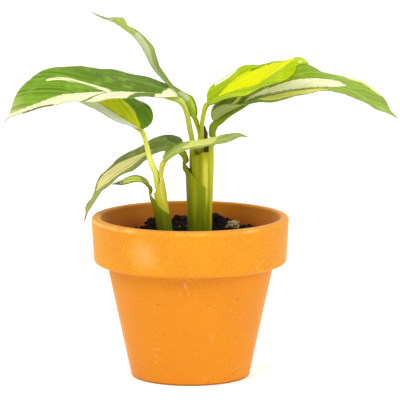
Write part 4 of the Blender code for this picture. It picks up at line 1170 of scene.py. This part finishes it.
def make_loose_crumbs(name, material, rng, count, smallest, largest):
    """Crumbs scattered over the mix, as one piece."""
    edge = inner_wall_radius(MIX_HEIGHT) - 2.5
    made = []
    while len(made) < count:
        r, turn = edge * math.sqrt(rng.random()), rng.uniform(0, math.tau)
        x, y = r * math.cos(turn), r * math.sin(turn)
        across = rng.uniform(smallest, largest)
        if near_shoot(x, y) and across > 2:
            continue
        size = (across, across * rng.uniform(0.5, 0.9), across * rng.uniform(0.4, 0.8))
        made.append(lump_at("crumb", (x, y, rough_mix(x, y) + size[2] * 0.25), size,
                            rng.uniform(0, math.pi), rng, 2, 0.5))
    finish_piece(joined(name, made), "potting_mix", material=material)


# ---------------------------------------------------------------- light, floor and camera

def face(thing, point):
    thing.rotation_mode = "QUATERNION"
    thing.rotation_quaternion = (point - thing.location).to_track_quat("-Z", "Y")


def make_stage():
    pick()
    bpy.ops.mesh.primitive_plane_add(size=14, location=(0, 3.0, 0))
    floor = newest("studio_floor")
    bpy.ops.object.transform_apply(location=True, rotation=True, scale=True)
    floor.data.materials.append(floor_material())

    world = bpy.data.worlds.new("white_studio")
    world.use_nodes = True
    backdrop = world.node_tree.nodes["Background"]
    backdrop.inputs["Color"].default_value = (1.0, 1.0, 1.0, 1)
    backdrop.inputs["Strength"].default_value = 0.82
    bpy.context.scene.world = world

    for name, place, size, power in (("key", (-0.9, -1.2, 1.5), 1.0, 20.0),
                                     ("fill", (1.3, -0.9, 0.9), 0.9, 11.0),
                                     ("back", (0.3, 1.5, 1.3), 1.2, 6.0)):
        pick()
        bpy.ops.object.light_add(type="AREA", location=place)
        lamp = newest(name)
        lamp.data.shape = "DISK"
        lamp.data.size = size
        lamp.data.energy = power
        face(lamp, Vector((0, 0, 0.1)))


def make_camera():
    data = bpy.data.cameras.new("view")
    camera = bpy.data.objects.new("view", data)
    bpy.context.scene.collection.objects.link(camera)
    camera.location = (-0.00075, -2.0, 0.422)
    face(camera, Vector((-0.00075, 0.0, 0.0989)))
    data.sensor_width = 36
    data.lens = 327.4
    data.clip_start = 0.1
    data.clip_end = 50
    bpy.context.scene.camera = camera


def main():
    make_camera()
    make_stage()
    rng = random.Random(21)
    make_pot()
    peat = earth_material("peat_moist_crumbly", "#070302", "#2A1A10", 1.6)
    bark = earth_material("bark_composted_matt", "#0C0604", "#33211A", 2.2)
    crumb = earth_material("peat_dried_pale", "#6E5E38", "#CDBB86", 1.3)
    perlite = earth_material("perlite_chalky", "#CFCCBE", "#F4F2EA", 1.5, 0.85)
    make_mix(peat)
    make_toppings(rng, bark, crumb, perlite)
    make_loose_crumbs("dark_crumbs", peat, rng, 420, 1.0, 3.4)
    make_loose_crumbs("brown_chips", earth_material("wood_fibre_dry", "#4A2E12", "#A8854A", 0.8),
                      rng, 120, 0.6, 1.7)
    for name, leaf in LEAVES.items():
        make_stalk(name, leaf, STALK_TONES[name])
        make_blade(name, leaf, LOOKS[name], rng)
    make_dried_tip(earth_material("sheath_withered_papery", "#1C1206", "#5A4420", 2.0, 0.85))
    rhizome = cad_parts["rhizome_with_roots"].data.materials
    rhizome.clear()
    rhizome.append(earth_material("rhizome_corky_skin", "#8A6A42", "#CDB184", 2.5, 0.8))
    bpy.context.scene.view_settings.view_transform = "Standard"


main()
